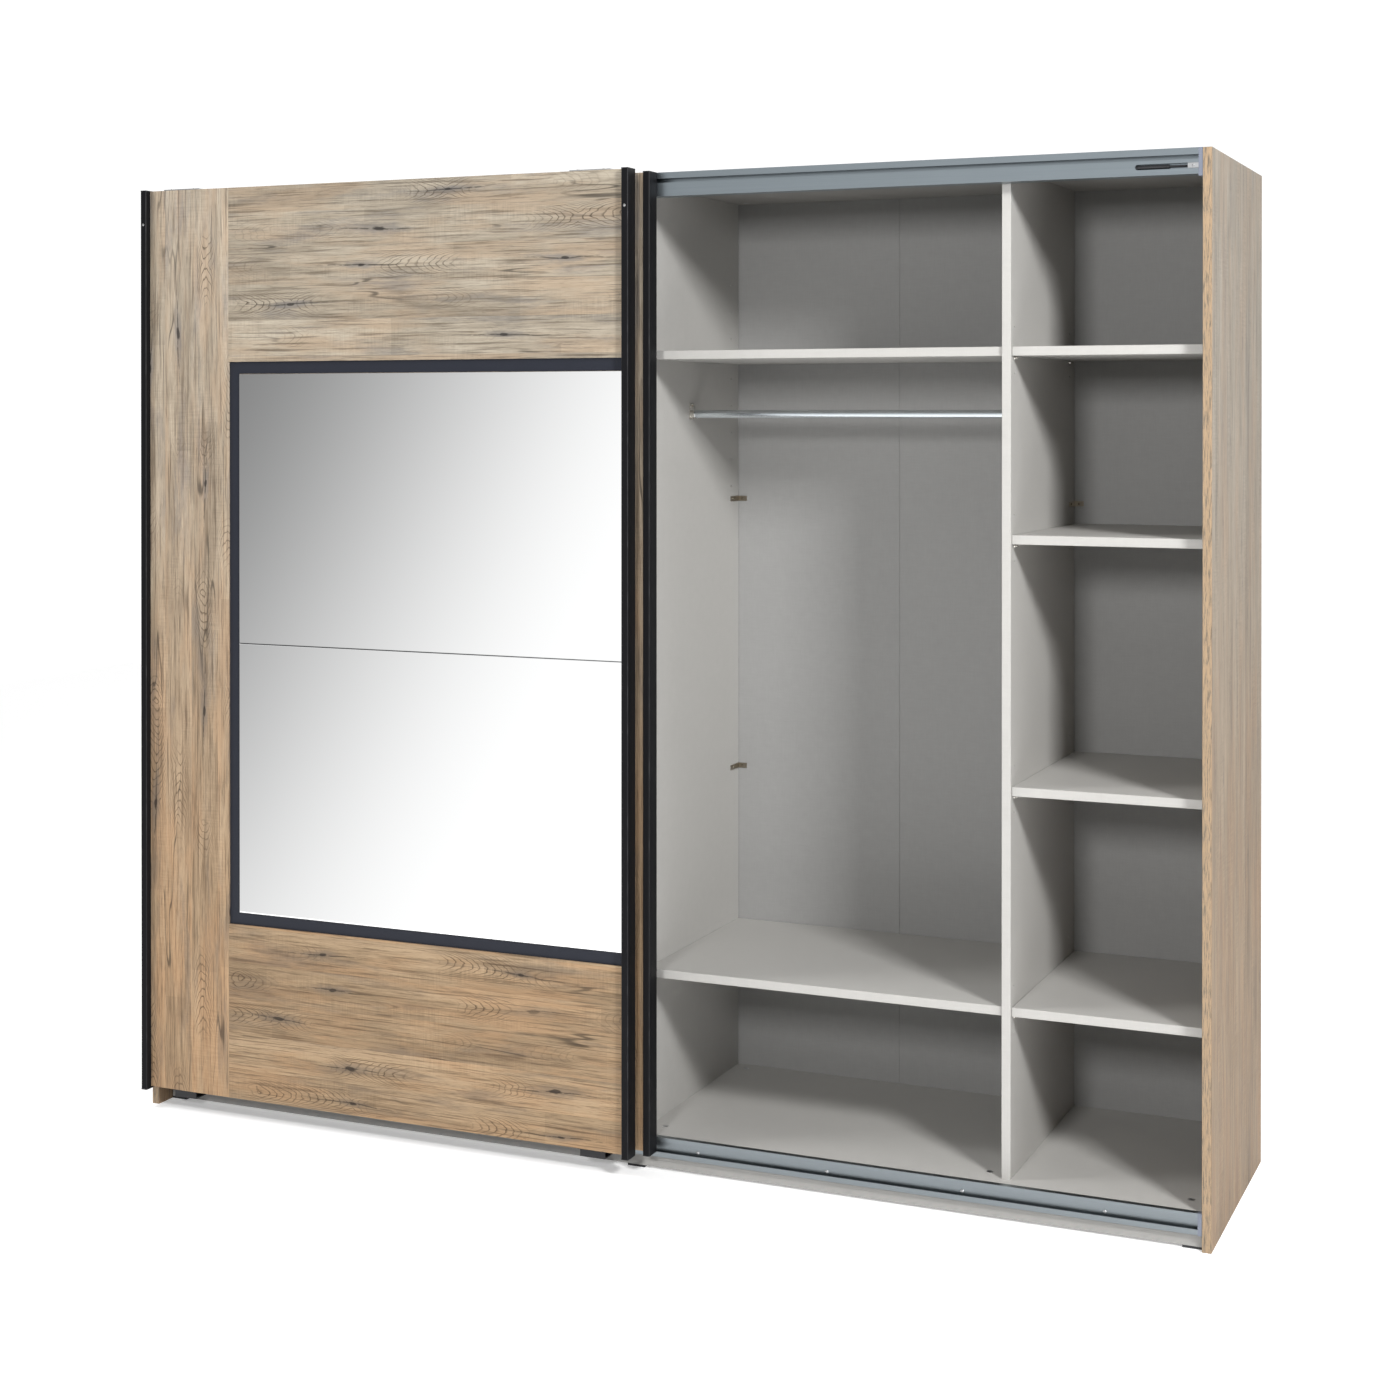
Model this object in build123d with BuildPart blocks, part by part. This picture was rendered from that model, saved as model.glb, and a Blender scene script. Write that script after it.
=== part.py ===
"""Sliding door wardrobe: two hung doors in front of a carcass of six compartments.

Frame: millimetres, +Z up, front faces -Y, +X to the viewer's right. The origin is on the floor,
in the middle of the footprint. The model stands with both doors pushed to the left.
"""
from build123d import *
import os

# ---- Driving dimensions: whole wardrobe ------------------------------------------------------
width = 2500.0
height = 2170.0
carcass_depth = 588.0        # right side panel, front edge to back edge
board = 19.0                 # chipboard of sides, partitions and shelves
edge_ease = 0.8              # eased board edges
face_ease = 0.5              # door boards and plinth

# ---- Door stack, front to back ---------------------------------------------------------------
trim_width = 16.0            # handle profile on each door edge
trim_depth = 38.0
trim_wall = 1.6
trim_ease = 1.5
trim_screw_drop = 80.0       # small screw in the outer trims, below their top end
door_gap = 3.0               # outer door to inner door, and inner door to carcass
side_cover_gap = 5.0         # outer door to the deeper left side panel
face_recess = 16.0           # wood face behind the trim's front
base_board = 16.0            # carrier board of a door
face_board = trim_depth - face_recess - base_board
glass = 4.0
glass_bevel = 1.2
glass_joint = 1.2
door_overlap = 50.0          # the closed doors overlap by this much in the middle
inner_park_gap = 13.0        # inner door's left edge to the left side panel, at rest
door_bottom = 50.0
trim_drop = 5.0              # trims reach this much below the boards
door_rise = 4.0              # outer door's top above the carcass
cap_lip = 1.2
cap_plug = 12.0
cap_fit = 0.1

# ---- Door face layout ------------------------------------------------------------------------
stile = 222.0                # upright wood board at the outer edge of each door
base_strip = 28.0            # dark carrier board left visible round the mirror
mirror_height = 1256.0

# ---- Plinth and inside -----------------------------------------------------------------------
glide = 5.0                  # plastic glides under the plinth
glide_length = 41.0
plinth_top = 57.0
shelf_bay = 397.0            # clear width of each narrow compartment
back_panel = 4.0
back_recess = 6.0
divider_setback = 2.0        # partitions behind the top rail
shelf_setback = 8.0          # shelves behind the partitions' front edge
shelf_gap = 0.5              # loose shelves to each wall
joint_strip = 12.0
hat_shelf_z = 1766.0         # undersides of the shelves
upper_shelf_z = 1379.0
middle_shelf_z = 862.0
base_shelf_z = 409.0
rod_diameter = 18.0
rod_wall = 1.2
rod_drop = 120.0             # clothes rod's axis below the hat shelf
rod_back = 293.0             # clothes rod's axis behind the carcass front
cup_wall = 3.0
cup_depth = 12.0
cup_plate_rise = 25.0        # holder's plate above the rod's axis

# ---- Drilled rows and fittings ---------------------------------------------------------------
hole_pitch = 32.0
hole_radius = 2.5
hole_depth = 9.0
hole_front = 26.0            # front row behind the partitions' front edge
hole_back = 46.0             # back row before the back panel
pin_play = 0.05
pin_reach = 9.0
pin_end_gap = 1.0            # pin's end to the bottom of its hole
pin_collar = 1.5
pin_collar_radius = 4.0
cam_radius = 7.5
cam_depth = 9.0
cam_inset = 34.0
cam_slot = 8.0               # driver slot in a fitting
cam_slot_width = 1.6
cam_slot_depth = 1.5
clip_arm = 22.0              # clip's arm on the back panel
clip_reach = 50.0            # clip's arm on the wall, over the back row of holes
clip_height = 12.0
clip_sheet = 1.6

# ---- Top rail: two wheel channels side by side ------------------------------------------------
rail_height = 52.0
rail_depth = 38.0
rail_wall = 1.5
rail_upper_band = 13.5
rail_slot = 9.0              # slot for the inner door's axles
rail_box = 12.0              # hollow lower band that holds the dampers
rail_mid_wall = 22.0         # front face of the wall between the two channels
rail_cap = 8.0
end_cap_drop = 4.0
end_cap_proud = 1.0

# ---- Bottom rail -----------------------------------------------------------------------------
guide_depth = 14.0
guide_height = 38.0
guide_wall = 2.0
guide_top_lip = 8.0
guide_front_lip = 6.0
guide_rib = 6.0
guide_rib_front = 3.0
guide_screw_pitch = 296.0
guide_screw_z = 49.0

# ---- Hangers, wheels and guides --------------------------------------------------------------
wheel_radius = 13.0
wheel_width = 7.0
wheel_groove = 1.2
axle_radius = 3.0
axle_play = 0.05
track_play = 0.3
wheel_side_gap = 1.5
hanger_sheet = 3.0
hanger_tab = 2.0
hanger_length = 99.0
hanger_inset = 52.0          # hanger's outer end to the door's edge
hanger_lap = 18.0            # hanger's lap on the door's top edge
hanger_clear = 1.0           # inner hanger to the carcass
inner_hanger_drop = 40.0     # inner hanger's lower edge below the carcass top
screw_head = 4.0
trim_screw_head = 3.0
screw_head_height = 1.2
screw_shank = 1.9
guide_block = 60.0
guide_plate = 3.0
guide_play = 1.5
guide_side_gap = 4.5         # guide nose to the rail's web
guide_clear = 0.5            # guide's riser in the gap behind the door

# ---- Dampers ---------------------------------------------------------------------------------
damper_slot = 11.0
damper_reach = 125.0         # slot's round end to the rail's end
damper_block = 21.0
damper_body = 66.0
damper_body_radius = 4.3
damper_rod_radius = 2.2
damper_engage = 20.0         # rod inside the cylinder when the damper is out
damper_end = 4.0
damper_play = 0.4
damper_lift = 12.5           # damper's axis below the slot of the rail
damper_proud = 1.2
damper_screw_radius = 3.0

# ---- Planes that follow ----------------------------------------------------------------------
half = width / 2
inner_x = half - board                                  # inner face of the side panels
back_y = (carcass_depth + 2 * (trim_depth + door_gap)) / 2
front_y = back_y - carcass_depth                        # carcass front edges
inner_door_y = front_y - door_gap - trim_depth          # trim fronts
outer_door_y = inner_door_y - door_gap - trim_depth
left_front_y = outer_door_y + trim_depth + side_cover_gap
rail_back_y = front_y + rail_depth
guide_back_y = front_y + guide_depth
divider_y = rail_back_y + divider_setback
shelf_y = divider_y + shelf_setback
back_panel_y = back_y - back_recess - back_panel
floor_z = plinth_top + board
ceiling_z = height - board
partition_half = board / 2
divider_x = inner_x - shelf_bay - board                 # divider's face towards the middle
back_joint_x = (partition_half + divider_x) / 2
door_width = half + door_overlap / 2
outer_door_x = -half
inner_door_x = -inner_x + inner_park_gap
axle_z = height - rail_upper_band - rail_slot / 2
rail_bottom = height - rail_height
rail_end_x = inner_x - rail_cap
guide_bottom = floor_z - guide_height
track_z = axle_z - wheel_radius - track_play
hat_height = hat_shelf_z + board

os.makedirs("parts", exist_ok=True)


def slab(x0, x1, y0, y1, z0, z1, mode=Mode.ADD):
    """A rectangular block between two corners, in the open part."""
    with Locations(((x0 + x1) / 2, (y0 + y1) / 2, (z0 + z1) / 2)):
        Box(x1 - x0, y1 - y0, z1 - z0, mode=mode)


def rod_x(x0, x1, y, z, radius, mode=Mode.ADD):
    """A round bar along X."""
    with Locations(((x0 + x1) / 2, y, z)):
        Cylinder(radius, x1 - x0, rotation=(0, 90, 0), mode=mode)


def rod_y(x, y0, y1, z, radius, mode=Mode.ADD):
    """A round bar along Y."""
    with Locations((x, (y0 + y1) / 2, z)):
        Cylinder(radius, y1 - y0, rotation=(90, 0, 0), mode=mode)


def rod_z(x, y, z0, z1, radius, mode=Mode.ADD):
    """A round bar along Z."""
    with Locations((x, y, (z0 + z1) / 2)):
        Cylinder(radius, z1 - z0, mode=mode)


def finish(builder, node):
    """Label a finished piece and write it."""
    builder.part.label = node
    export_step(builder.part, f"parts/{node}.step")


def write_board(node, x0, x1, y0, y1, z0, z1, ease=edge_ease):
    """A plain board with eased edges."""
    with BuildPart() as plain:
        slab(x0, x1, y0, y1, z0, z1)
        chamfer(plain.edges(), ease)
    finish(plain, node)


# ---- Drilled rows ----------------------------------------------------------------------------
hole_front_y = divider_y + hole_front
hole_back_y = back_panel_y - hole_back
shelf_levels = (hat_shelf_z, upper_shelf_z, middle_shelf_z, base_shelf_z)
pin_drop = pin_collar_radius                           # pin's axis below the shelf it carries


def drill_row(x, side, levels):
    """Blind holes in a wall's face at x; side is the way the face looks."""
    for level in levels:
        for y in (hole_front_y, hole_back_y):
            rod_x(min(x, x - side * hole_depth), max(x, x - side * hole_depth), y, level,
                  hole_radius, mode=Mode.SUBTRACT)


shelf_bay_levels = [z - pin_drop + step * hole_pitch for z in shelf_levels for step in (-1, 0, 2)]
hanging_levels = [hat_shelf_z - pin_drop + step * hole_pitch for step in (-9, -7, -5, -3, -1, 2, 4, 6)]

# ---- Side panels, partitions, top and bottom --------------------------------------------------
with BuildPart() as left_side_panel:
    slab(-half, -inner_x, left_front_y, back_y, 0, height)
    chamfer(left_side_panel.edges(), edge_ease)
    drill_row(-inner_x, 1, shelf_bay_levels)
finish(left_side_panel, "left_side_panel")

with BuildPart() as right_side_panel:
    slab(inner_x, half, front_y, back_y, 0, height)
    chamfer(right_side_panel.edges(), edge_ease)
    drill_row(inner_x, -1, shelf_bay_levels)
finish(right_side_panel, "right_side_panel")

with BuildPart() as middle_partition:
    slab(-partition_half, partition_half, divider_y, back_panel_y, floor_z, ceiling_z)
    chamfer(middle_partition.edges().filter_by(Axis.Z), edge_ease)
    for side in (-1, 1):
        drill_row(side * partition_half, side, hanging_levels)
finish(middle_partition, "middle_partition")

for node, side in (("left_divider", -1), ("right_divider", 1)):
    near, far = side * divider_x, side * (divider_x + board)
    with BuildPart() as divider:
        slab(min(near, far), max(near, far), divider_y, back_panel_y, floor_z, ceiling_z)
        chamfer(divider.edges().filter_by(Axis.Z), edge_ease)
        drill_row(far, side, shelf_bay_levels)
    finish(divider, node)

cam_spots = []
for cam_x in (inner_x - cam_inset, divider_x - cam_inset, partition_half + cam_inset):
    for cam_y in (divider_y + cam_inset, back_panel_y - cam_inset):
        for side in (-1, 1):
            cam_spots.append((side * cam_x, cam_y))

with BuildPart() as top_panel:
    slab(-inner_x, inner_x, rail_back_y, back_panel_y, ceiling_z, height)
    for cam_x, cam_y in cam_spots:
        rod_z(cam_x, cam_y, ceiling_z, ceiling_z + cam_depth, cam_radius, mode=Mode.SUBTRACT)
finish(top_panel, "top_panel")

with BuildPart() as bottom_panel:
    slab(-inner_x, inner_x, guide_back_y, back_panel_y, plinth_top, floor_z)
    for cam_x, cam_y in cam_spots:
        rod_z(cam_x, cam_y, floor_z - cam_depth, floor_z, cam_radius, mode=Mode.SUBTRACT)
finish(bottom_panel, "bottom_panel")

with BuildPart() as cam_fittings:
    for cam_x, cam_y in cam_spots:
        for z0 in (ceiling_z, floor_z - cam_depth):
            rod_z(cam_x, cam_y, z0, z0 + cam_depth, cam_radius - pin_play)
    for cam_x, cam_y in cam_spots:
        for z0 in (ceiling_z, floor_z - cam_slot_depth):
            slab(cam_x - cam_slot / 2, cam_x + cam_slot / 2, cam_y - cam_slot_width / 2,
                 cam_y + cam_slot_width / 2, z0, z0 + cam_slot_depth, mode=Mode.SUBTRACT)
finish(cam_fittings, "cam_fittings")

# ---- Plinth ----------------------------------------------------------------------------------
plinth_rear_y = back_panel_y - board
write_board("plinth_front", -inner_x, inner_x, guide_back_y, guide_back_y + board, glide,
            plinth_top, ease=face_ease)

with BuildPart() as plinth_frame:
    slab(-inner_x, inner_x, plinth_rear_y, back_panel_y, glide, plinth_top)
    for rib_x in (-divider_x - partition_half, 0, divider_x + partition_half):
        slab(rib_x - partition_half, rib_x + partition_half, guide_back_y + board, plinth_rear_y,
             glide, plinth_top)
finish(plinth_frame, "plinth_frame")

with BuildPart() as floor_glides:
    end_x = inner_x - glide_length / 2
    for glide_x in (-end_x, 0, end_x):
        for glide_y in (guide_back_y + partition_half, plinth_rear_y + partition_half):
            with Locations((glide_x, glide_y, glide / 2)):
                Box(glide_length, board, glide)
    chamfer(floor_glides.edges().group_by(Axis.Z)[0], edge_ease)
finish(floor_glides, "floor_glides")

# ---- Back panels and the strips that join them -------------------------------------------------
back_edges = [-inner_x, -divider_x - partition_half, -back_joint_x, 0]
back_edges += [-x for x in reversed(back_edges[:-1])]
with BuildPart() as back_panels:
    for x0, x1 in zip(back_edges[:-1], back_edges[1:]):
        gap0 = glass_joint / 2 if x0 > -inner_x else 0
        gap1 = glass_joint / 2 if x1 < inner_x else 0
        slab(x0 + gap0, x1 - gap1, back_panel_y, back_panel_y + back_panel, plinth_top, height)
finish(back_panels, "back_panels")

with BuildPart() as back_joint_strips:
    for strip_x in (-back_joint_x, back_joint_x):
        slab(strip_x - joint_strip / 2, strip_x + joint_strip / 2, back_panel_y - clip_sheet,
             back_panel_y, floor_z, ceiling_z)
        slab(strip_x - glass_joint / 2, strip_x + glass_joint / 2, back_panel_y,
             back_panel_y + back_panel, floor_z, ceiling_z)
finish(back_joint_strips, "back_joint_strips")

clip_walls = [(side * face, -side * way) for side in (-1, 1)
              for face, way in ((inner_x, 1), (divider_x + board, -1), (divider_x, 1),
                                (partition_half, -1))]
with BuildPart() as back_clips:
    for clip_x, way in clip_walls:
        wall_arm = sorted((clip_x, clip_x + way * clip_sheet))
        back_arm = sorted((clip_x, clip_x + way * clip_arm))
        for level in (middle_shelf_z - 2 * hole_pitch, upper_shelf_z + 2 * hole_pitch):
            clip_z = level - clip_height / 2
            slab(*wall_arm, back_panel_y - clip_reach, back_panel_y, clip_z, clip_z + clip_height)
            slab(*back_arm, back_panel_y - clip_sheet, back_panel_y, clip_z, clip_z + clip_height)
finish(back_clips, "back_clips")

# ---- Shelves ---------------------------------------------------------------------------------
write_board("right_hat_shelf", partition_half, divider_x, shelf_y, back_panel_y - clip_sheet,
            hat_shelf_z, hat_height)
write_board("right_base_shelf", partition_half, divider_x, shelf_y, back_panel_y - clip_sheet,
            base_shelf_z, base_shelf_z + board)

with BuildPart() as left_fixed_shelves:
    for level in (hat_shelf_z, base_shelf_z):
        slab(-divider_x, -partition_half, shelf_y, back_panel_y - clip_sheet, level, level + board)
    chamfer(left_fixed_shelves.edges(), edge_ease)
finish(left_fixed_shelves, "left_fixed_shelves")

bay_x0 = divider_x + board + shelf_gap
bay_x1 = inner_x - shelf_gap
for node, side in (("left_loose_shelves", -1), ("right_loose_shelves", 1)):
    with BuildPart() as loose_shelves:
        for level in shelf_levels:
            slab(min(side * bay_x0, side * bay_x1), max(side * bay_x0, side * bay_x1), shelf_y,
                 back_panel_y - clip_sheet, level, level + board)
        chamfer(loose_shelves.edges(), edge_ease)
    finish(loose_shelves, node)

with BuildPart() as shelf_pins:
    for side in (-1, 1):
        for wall_x, way in ((divider_x + board, 1), (inner_x, -1)):
            for level in shelf_levels:
                for y in (hole_front_y, hole_back_y):
                    seat = side * wall_x
                    out = side * way
                    stem = sorted((seat - out * (hole_depth - pin_end_gap), seat + out * pin_reach))
                    collar = sorted((seat, seat + out * pin_collar))
                    rod_x(*stem, y, level - pin_drop, hole_radius - pin_play)
                    rod_x(*collar, y, level - pin_drop, pin_collar_radius)
finish(shelf_pins, "shelf_pins")

# ---- Clothes rods ----------------------------------------------------------------------------
rod_z_axis = hat_shelf_z - rod_drop
rod_y_axis = front_y + rod_back
rod_walls = [(side * x, side * way) for side in (-1, 1)
             for x, way in ((partition_half, 1), (divider_x, -1))]
with BuildPart() as clothes_rods:
    for side in (-1, 1):
        ends = sorted((side * (partition_half + cup_wall), side * (divider_x - cup_wall)))
        rod_x(*ends, rod_y_axis, rod_z_axis, rod_diameter / 2)
        rod_x(*ends, rod_y_axis, rod_z_axis, rod_diameter / 2 - rod_wall, mode=Mode.SUBTRACT)
finish(clothes_rods, "clothes_rods")

with BuildPart() as rod_supports:
    for wall_x, way in rod_walls:
        plate = sorted((wall_x, wall_x + way * cup_wall))
        cup = sorted((wall_x, wall_x + way * cup_depth))
        cup_radius = rod_diameter / 2 + cup_wall
        slab(*plate, rod_y_axis - cup_radius, rod_y_axis + cup_radius, rod_z_axis - cup_radius,
             rod_z_axis + cup_plate_rise)
        rod_x(*cup, rod_y_axis, rod_z_axis, cup_radius)
        hollow = sorted((wall_x + way * cup_wall, wall_x + way * cup_depth))
        bore_radius = rod_diameter / 2 + pin_play
        rod_x(*hollow, rod_y_axis, rod_z_axis, bore_radius, mode=Mode.SUBTRACT)
        slab(*hollow, rod_y_axis - bore_radius, rod_y_axis + bore_radius, rod_z_axis,
             rod_z_axis + cup_radius, mode=Mode.SUBTRACT)
finish(rod_supports, "rod_supports")

# ---- Top rail --------------------------------------------------------------------------------
slot_top = height - rail_upper_band
slot_bottom = slot_top - rail_slot
damper_z = slot_bottom - damper_lift
box_y = front_y + rail_box
mid_y = front_y + rail_mid_wall
with BuildPart() as top_rail:
    slab(-rail_end_x, rail_end_x, front_y, rail_back_y, rail_bottom, height)
    channel = (-rail_end_x, rail_end_x)
    slab(*channel, mid_y + rail_wall, rail_back_y - rail_wall, track_z, height, mode=Mode.SUBTRACT)
    slab(*channel, box_y, mid_y, track_z, height - rail_wall, mode=Mode.SUBTRACT)
    slab(*channel, front_y, box_y, slot_bottom, slot_top, mode=Mode.SUBTRACT)
    slab(*channel, front_y + rail_wall, box_y, slot_top, height - rail_wall, mode=Mode.SUBTRACT)
    slab(*channel, front_y + rail_wall, box_y - rail_wall, rail_bottom + rail_wall,
         slot_bottom - rail_wall, mode=Mode.SUBTRACT)
    slab(*channel, box_y, rail_back_y - rail_wall, rail_bottom + rail_wall, track_z - rail_wall,
         mode=Mode.SUBTRACT)
    for side in (-1, 1):
        round_x = side * (rail_end_x - damper_reach + damper_slot / 2)
        ends = sorted((round_x, side * rail_end_x))
        slab(*ends, front_y, front_y + rail_wall, damper_z - damper_slot / 2,
             damper_z + damper_slot / 2, mode=Mode.SUBTRACT)
        rod_y(round_x, front_y, front_y + rail_wall, damper_z, damper_slot / 2,
              mode=Mode.SUBTRACT)
finish(top_rail, "top_rail")

# ---- Dampers: block and rod stay, the cylinder is pushed towards the block ----------------------
damper_y = front_y + rail_box / 2
block_half = damper_slot / 2 - damper_play
damper_start = rail_end_x - damper_reach + damper_play
with BuildPart() as damper_blocks:
    for side in (-1, 1):
        ends = sorted((side * (rail_end_x - damper_block), side * rail_end_x))
        slab(*ends, front_y - damper_proud, box_y - rail_wall, damper_z - block_half,
             damper_z + block_half)
        rod_y(side * (rail_end_x - damper_block / 2), front_y - damper_proud, front_y, damper_z,
              damper_screw_radius, mode=Mode.SUBTRACT)
finish(damper_blocks, "damper_blocks")

with BuildPart() as damper_rods:
    for side in (-1, 1):
        rod_start = damper_start + damper_body - damper_engage
        ends = sorted((side * rod_start, side * (rail_end_x - damper_block)))
        rod_x(*ends, damper_y, damper_z, damper_rod_radius)
finish(damper_rods, "damper_rods")

for node, side in (("left_damper_cylinder", -1), ("right_damper_cylinder", 1)):
    ends = sorted((side * damper_start, side * (damper_start + damper_body)))
    bore_ends = sorted((side * (damper_start + damper_end), side * (damper_start + damper_body)))
    with BuildPart() as damper_cylinder:
        rod_x(*ends, damper_y, damper_z, damper_body_radius)
        rod_x(*bore_ends, damper_y, damper_z, damper_rod_radius + axle_play, mode=Mode.SUBTRACT)
    finish(damper_cylinder, node)

# ---- Bottom rail -----------------------------------------------------------------------------
guide_top = floor_z
with BuildPart() as bottom_rail:
    channel = (-rail_end_x, rail_end_x)
    slab(*channel, guide_back_y - guide_wall, guide_back_y, guide_bottom, guide_top)
    slab(*channel, front_y, guide_back_y, guide_top - guide_wall, guide_top)
    slab(*channel, front_y, front_y + guide_wall, guide_top - guide_top_lip, guide_top)
    slab(*channel, front_y, guide_back_y, guide_bottom, guide_bottom + guide_wall)
    slab(*channel, front_y, front_y + guide_wall, guide_bottom, guide_bottom + guide_front_lip)
    slab(*channel, guide_back_y - guide_wall, guide_back_y, guide_bottom - guide_rib, guide_bottom)
    slab(*channel, front_y + guide_rib_front, front_y + guide_rib_front + guide_wall,
         guide_bottom - guide_rib, guide_bottom)
finish(bottom_rail, "bottom_rail")

guide_screw_xs = [(step + 0.5) * guide_screw_pitch for step in range(-4, 4)]
with BuildPart() as rail_screws:
    for screw_x in guide_screw_xs:
        face = guide_back_y - guide_wall
        rod_y(screw_x, face - screw_head_height, face, guide_screw_z, screw_head)
finish(rail_screws, "rail_screws")

with BuildPart() as rail_end_caps:
    for side in (-1, 1):
        ends = sorted((side * rail_end_x, side * inner_x))
        slab(*ends, front_y - end_cap_proud, rail_back_y, rail_bottom - end_cap_drop, height)
        slab(*ends, front_y - end_cap_proud, guide_back_y, guide_bottom - guide_rib, guide_top)
finish(rail_end_caps, "rail_end_caps")


# ---- Doors -----------------------------------------------------------------------------------
def write_door(name, left_x, trim_y, top_z, stile_side):
    """Boards, mirrors, trims and caps of one door; stile_side is -1 for a stile on the left."""
    right_x = left_x + door_width
    back = trim_y + trim_depth
    base_y = back - base_board
    face_y = base_y - face_board
    in_x0, in_x1 = left_x + trim_width, right_x - trim_width
    write_board(f"{name}_base_board", in_x0, in_x1, base_y, back, door_bottom, top_z,
                ease=face_ease)

    if stile_side < 0:
        stile_span = (in_x0, in_x0 + stile)
        rest_span = (in_x0 + stile, in_x1)
        glass_span = (in_x0 + stile + base_strip, in_x1)
    else:
        stile_span = (in_x1 - stile, in_x1)
        rest_span = (in_x0, in_x1 - stile)
        glass_span = (in_x0, in_x1 - stile - base_strip)
    write_board(f"{name}_stile_board", *stile_span, face_y, base_y, door_bottom, top_z, ease=face_ease)

    face_band = (top_z - door_bottom - mirror_height) / 2 - base_strip
    write_board(f"{name}_bottom_board", *rest_span, face_y, base_y, door_bottom,
                door_bottom + face_band, ease=face_ease)
    write_board(f"{name}_top_board", *rest_span, face_y, base_y, top_z - face_band, top_z, ease=face_ease)

    glass_z0 = door_bottom + face_band + base_strip
    glass_mid = glass_z0 + mirror_height / 2
    for node, z0, z1 in ((f"{name}_lower_mirror", glass_z0, glass_mid - glass_joint / 2),
                         (f"{name}_upper_mirror", glass_mid + glass_joint / 2,
                          glass_z0 + mirror_height)):
        with BuildPart() as mirror_pane:
            slab(*glass_span, base_y - glass, base_y, z0, z1)
            chamfer(mirror_pane.faces().sort_by(Axis.Y)[0].edges(), glass_bevel)
        finish(mirror_pane, node)

    trim_z0, trim_z1 = door_bottom - trim_drop + cap_lip, top_z
    for node, x0 in ((f"{name}_left_trim", left_x), (f"{name}_right_trim", right_x - trim_width)):
        with BuildPart() as trim:
            slab(x0, x0 + trim_width, trim_y, back, trim_z0, trim_z1)
            front_edges = trim.edges().filter_by(Axis.Z).group_by(Axis.Y)[0]
            chamfer(front_edges, trim_ease)
            slab(x0 + trim_wall, x0 + trim_width - trim_wall, trim_y + trim_wall + trim_ease / 2,
                 back - trim_wall, trim_z0, trim_z1, mode=Mode.SUBTRACT)
        finish(trim, node)

    with BuildPart() as trim_caps:
        for x0 in (left_x, right_x - trim_width):
            for z0, z1, plug0, plug1 in ((trim_z1, trim_z1 + cap_lip, trim_z1 - cap_plug, trim_z1),
                                         (trim_z0 - cap_lip, trim_z0, trim_z0, trim_z0 + cap_plug)):
                slab(x0, x0 + trim_width, trim_y, back, z0, z1)
                slab(x0 + trim_wall + cap_fit, x0 + trim_width - trim_wall - cap_fit,
                     trim_y + trim_wall + trim_ease / 2 + cap_fit, back - trim_wall - cap_fit,
                     plug0, plug1)
    finish(trim_caps, f"{name}_trim_caps")


outer_top = height + door_rise
inner_top = height - cap_lip
write_door("outer", outer_door_x, outer_door_y, outer_top, -1)
write_door("inner", inner_door_x, inner_door_y, inner_top, 1)


def hanger_spans(left_x):
    """The two hangers of a door as spans along X."""
    right_x = left_x + door_width
    first = left_x + hanger_inset
    last = right_x - hanger_inset
    return (first, first + hanger_length), (last - hanger_length, last)


def write_wheel(node, x, y0):
    """A grooved wheel on an axle along Y, with its front face at y0."""
    with BuildPart() as wheel:
        rod_y(x, y0, y0 + wheel_width, axle_z, wheel_radius)
        rod_y(x, y0, y0 + wheel_width, axle_z, axle_radius + axle_play, mode=Mode.SUBTRACT)
        rim = wheel.edges().filter_by(GeomType.CIRCLE).group_by(SortBy.RADIUS)[-1]
        chamfer(rim, wheel_groove)
    finish(wheel, node)


# Outer door: plates lie on its top edge, pass over the inner door and drop into the rear channel.
tab_y = mid_y + rail_wall + wheel_side_gap
outer_wheel_y = tab_y + hanger_tab + wheel_side_gap / 2
outer_base_y = outer_door_y + trim_depth - base_board
plate_z = outer_top
outer_spans = hanger_spans(outer_door_x)
with BuildPart() as outer_hangers:
    for x0, x1 in outer_spans:
        slab(x0, x1, outer_base_y, tab_y + hanger_tab, plate_z, plate_z + hanger_sheet)
        slab(x0, x1, tab_y, tab_y + hanger_tab, axle_z - 2 * axle_radius, plate_z)
        rod_y((x0 + x1) / 2, tab_y, tab_y + hanger_tab, axle_z, axle_radius, mode=Mode.SUBTRACT)
        for screw_x in (x0 + hanger_lap, x1 - hanger_lap):
            rod_z(screw_x, outer_base_y + base_board / 2, plate_z, plate_z + hanger_sheet,
                  screw_shank, mode=Mode.SUBTRACT)
finish(outer_hangers, "outer_hangers")

with BuildPart() as outer_axles:
    for x0, x1 in outer_spans:
        rod_y((x0 + x1) / 2, tab_y, outer_wheel_y + wheel_width, axle_z, axle_radius)
finish(outer_axles, "outer_axles")

for node, (x0, x1) in zip(("outer_left_wheel", "outer_right_wheel"), outer_spans):
    write_wheel(node, (x0 + x1) / 2, outer_wheel_y)

with BuildPart() as outer_screws:
    for x0, x1 in outer_spans:
        for screw_x in (x0 + hanger_lap, x1 - hanger_lap):
            rod_z(screw_x, outer_base_y + base_board / 2, plate_z + hanger_sheet,
                  plate_z + hanger_sheet + screw_head_height, screw_head)
            rod_z(screw_x, outer_base_y + base_board / 2, plate_z, plate_z + hanger_sheet,
                  screw_shank - pin_play)
    for trim_x in (outer_door_x, outer_door_x + door_width - trim_width):
        rod_y(trim_x + trim_width / 2, outer_door_y - screw_head_height / 2, outer_door_y,
              outer_top - trim_screw_drop, trim_screw_head)
finish(outer_screws, "outer_screws")

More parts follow.
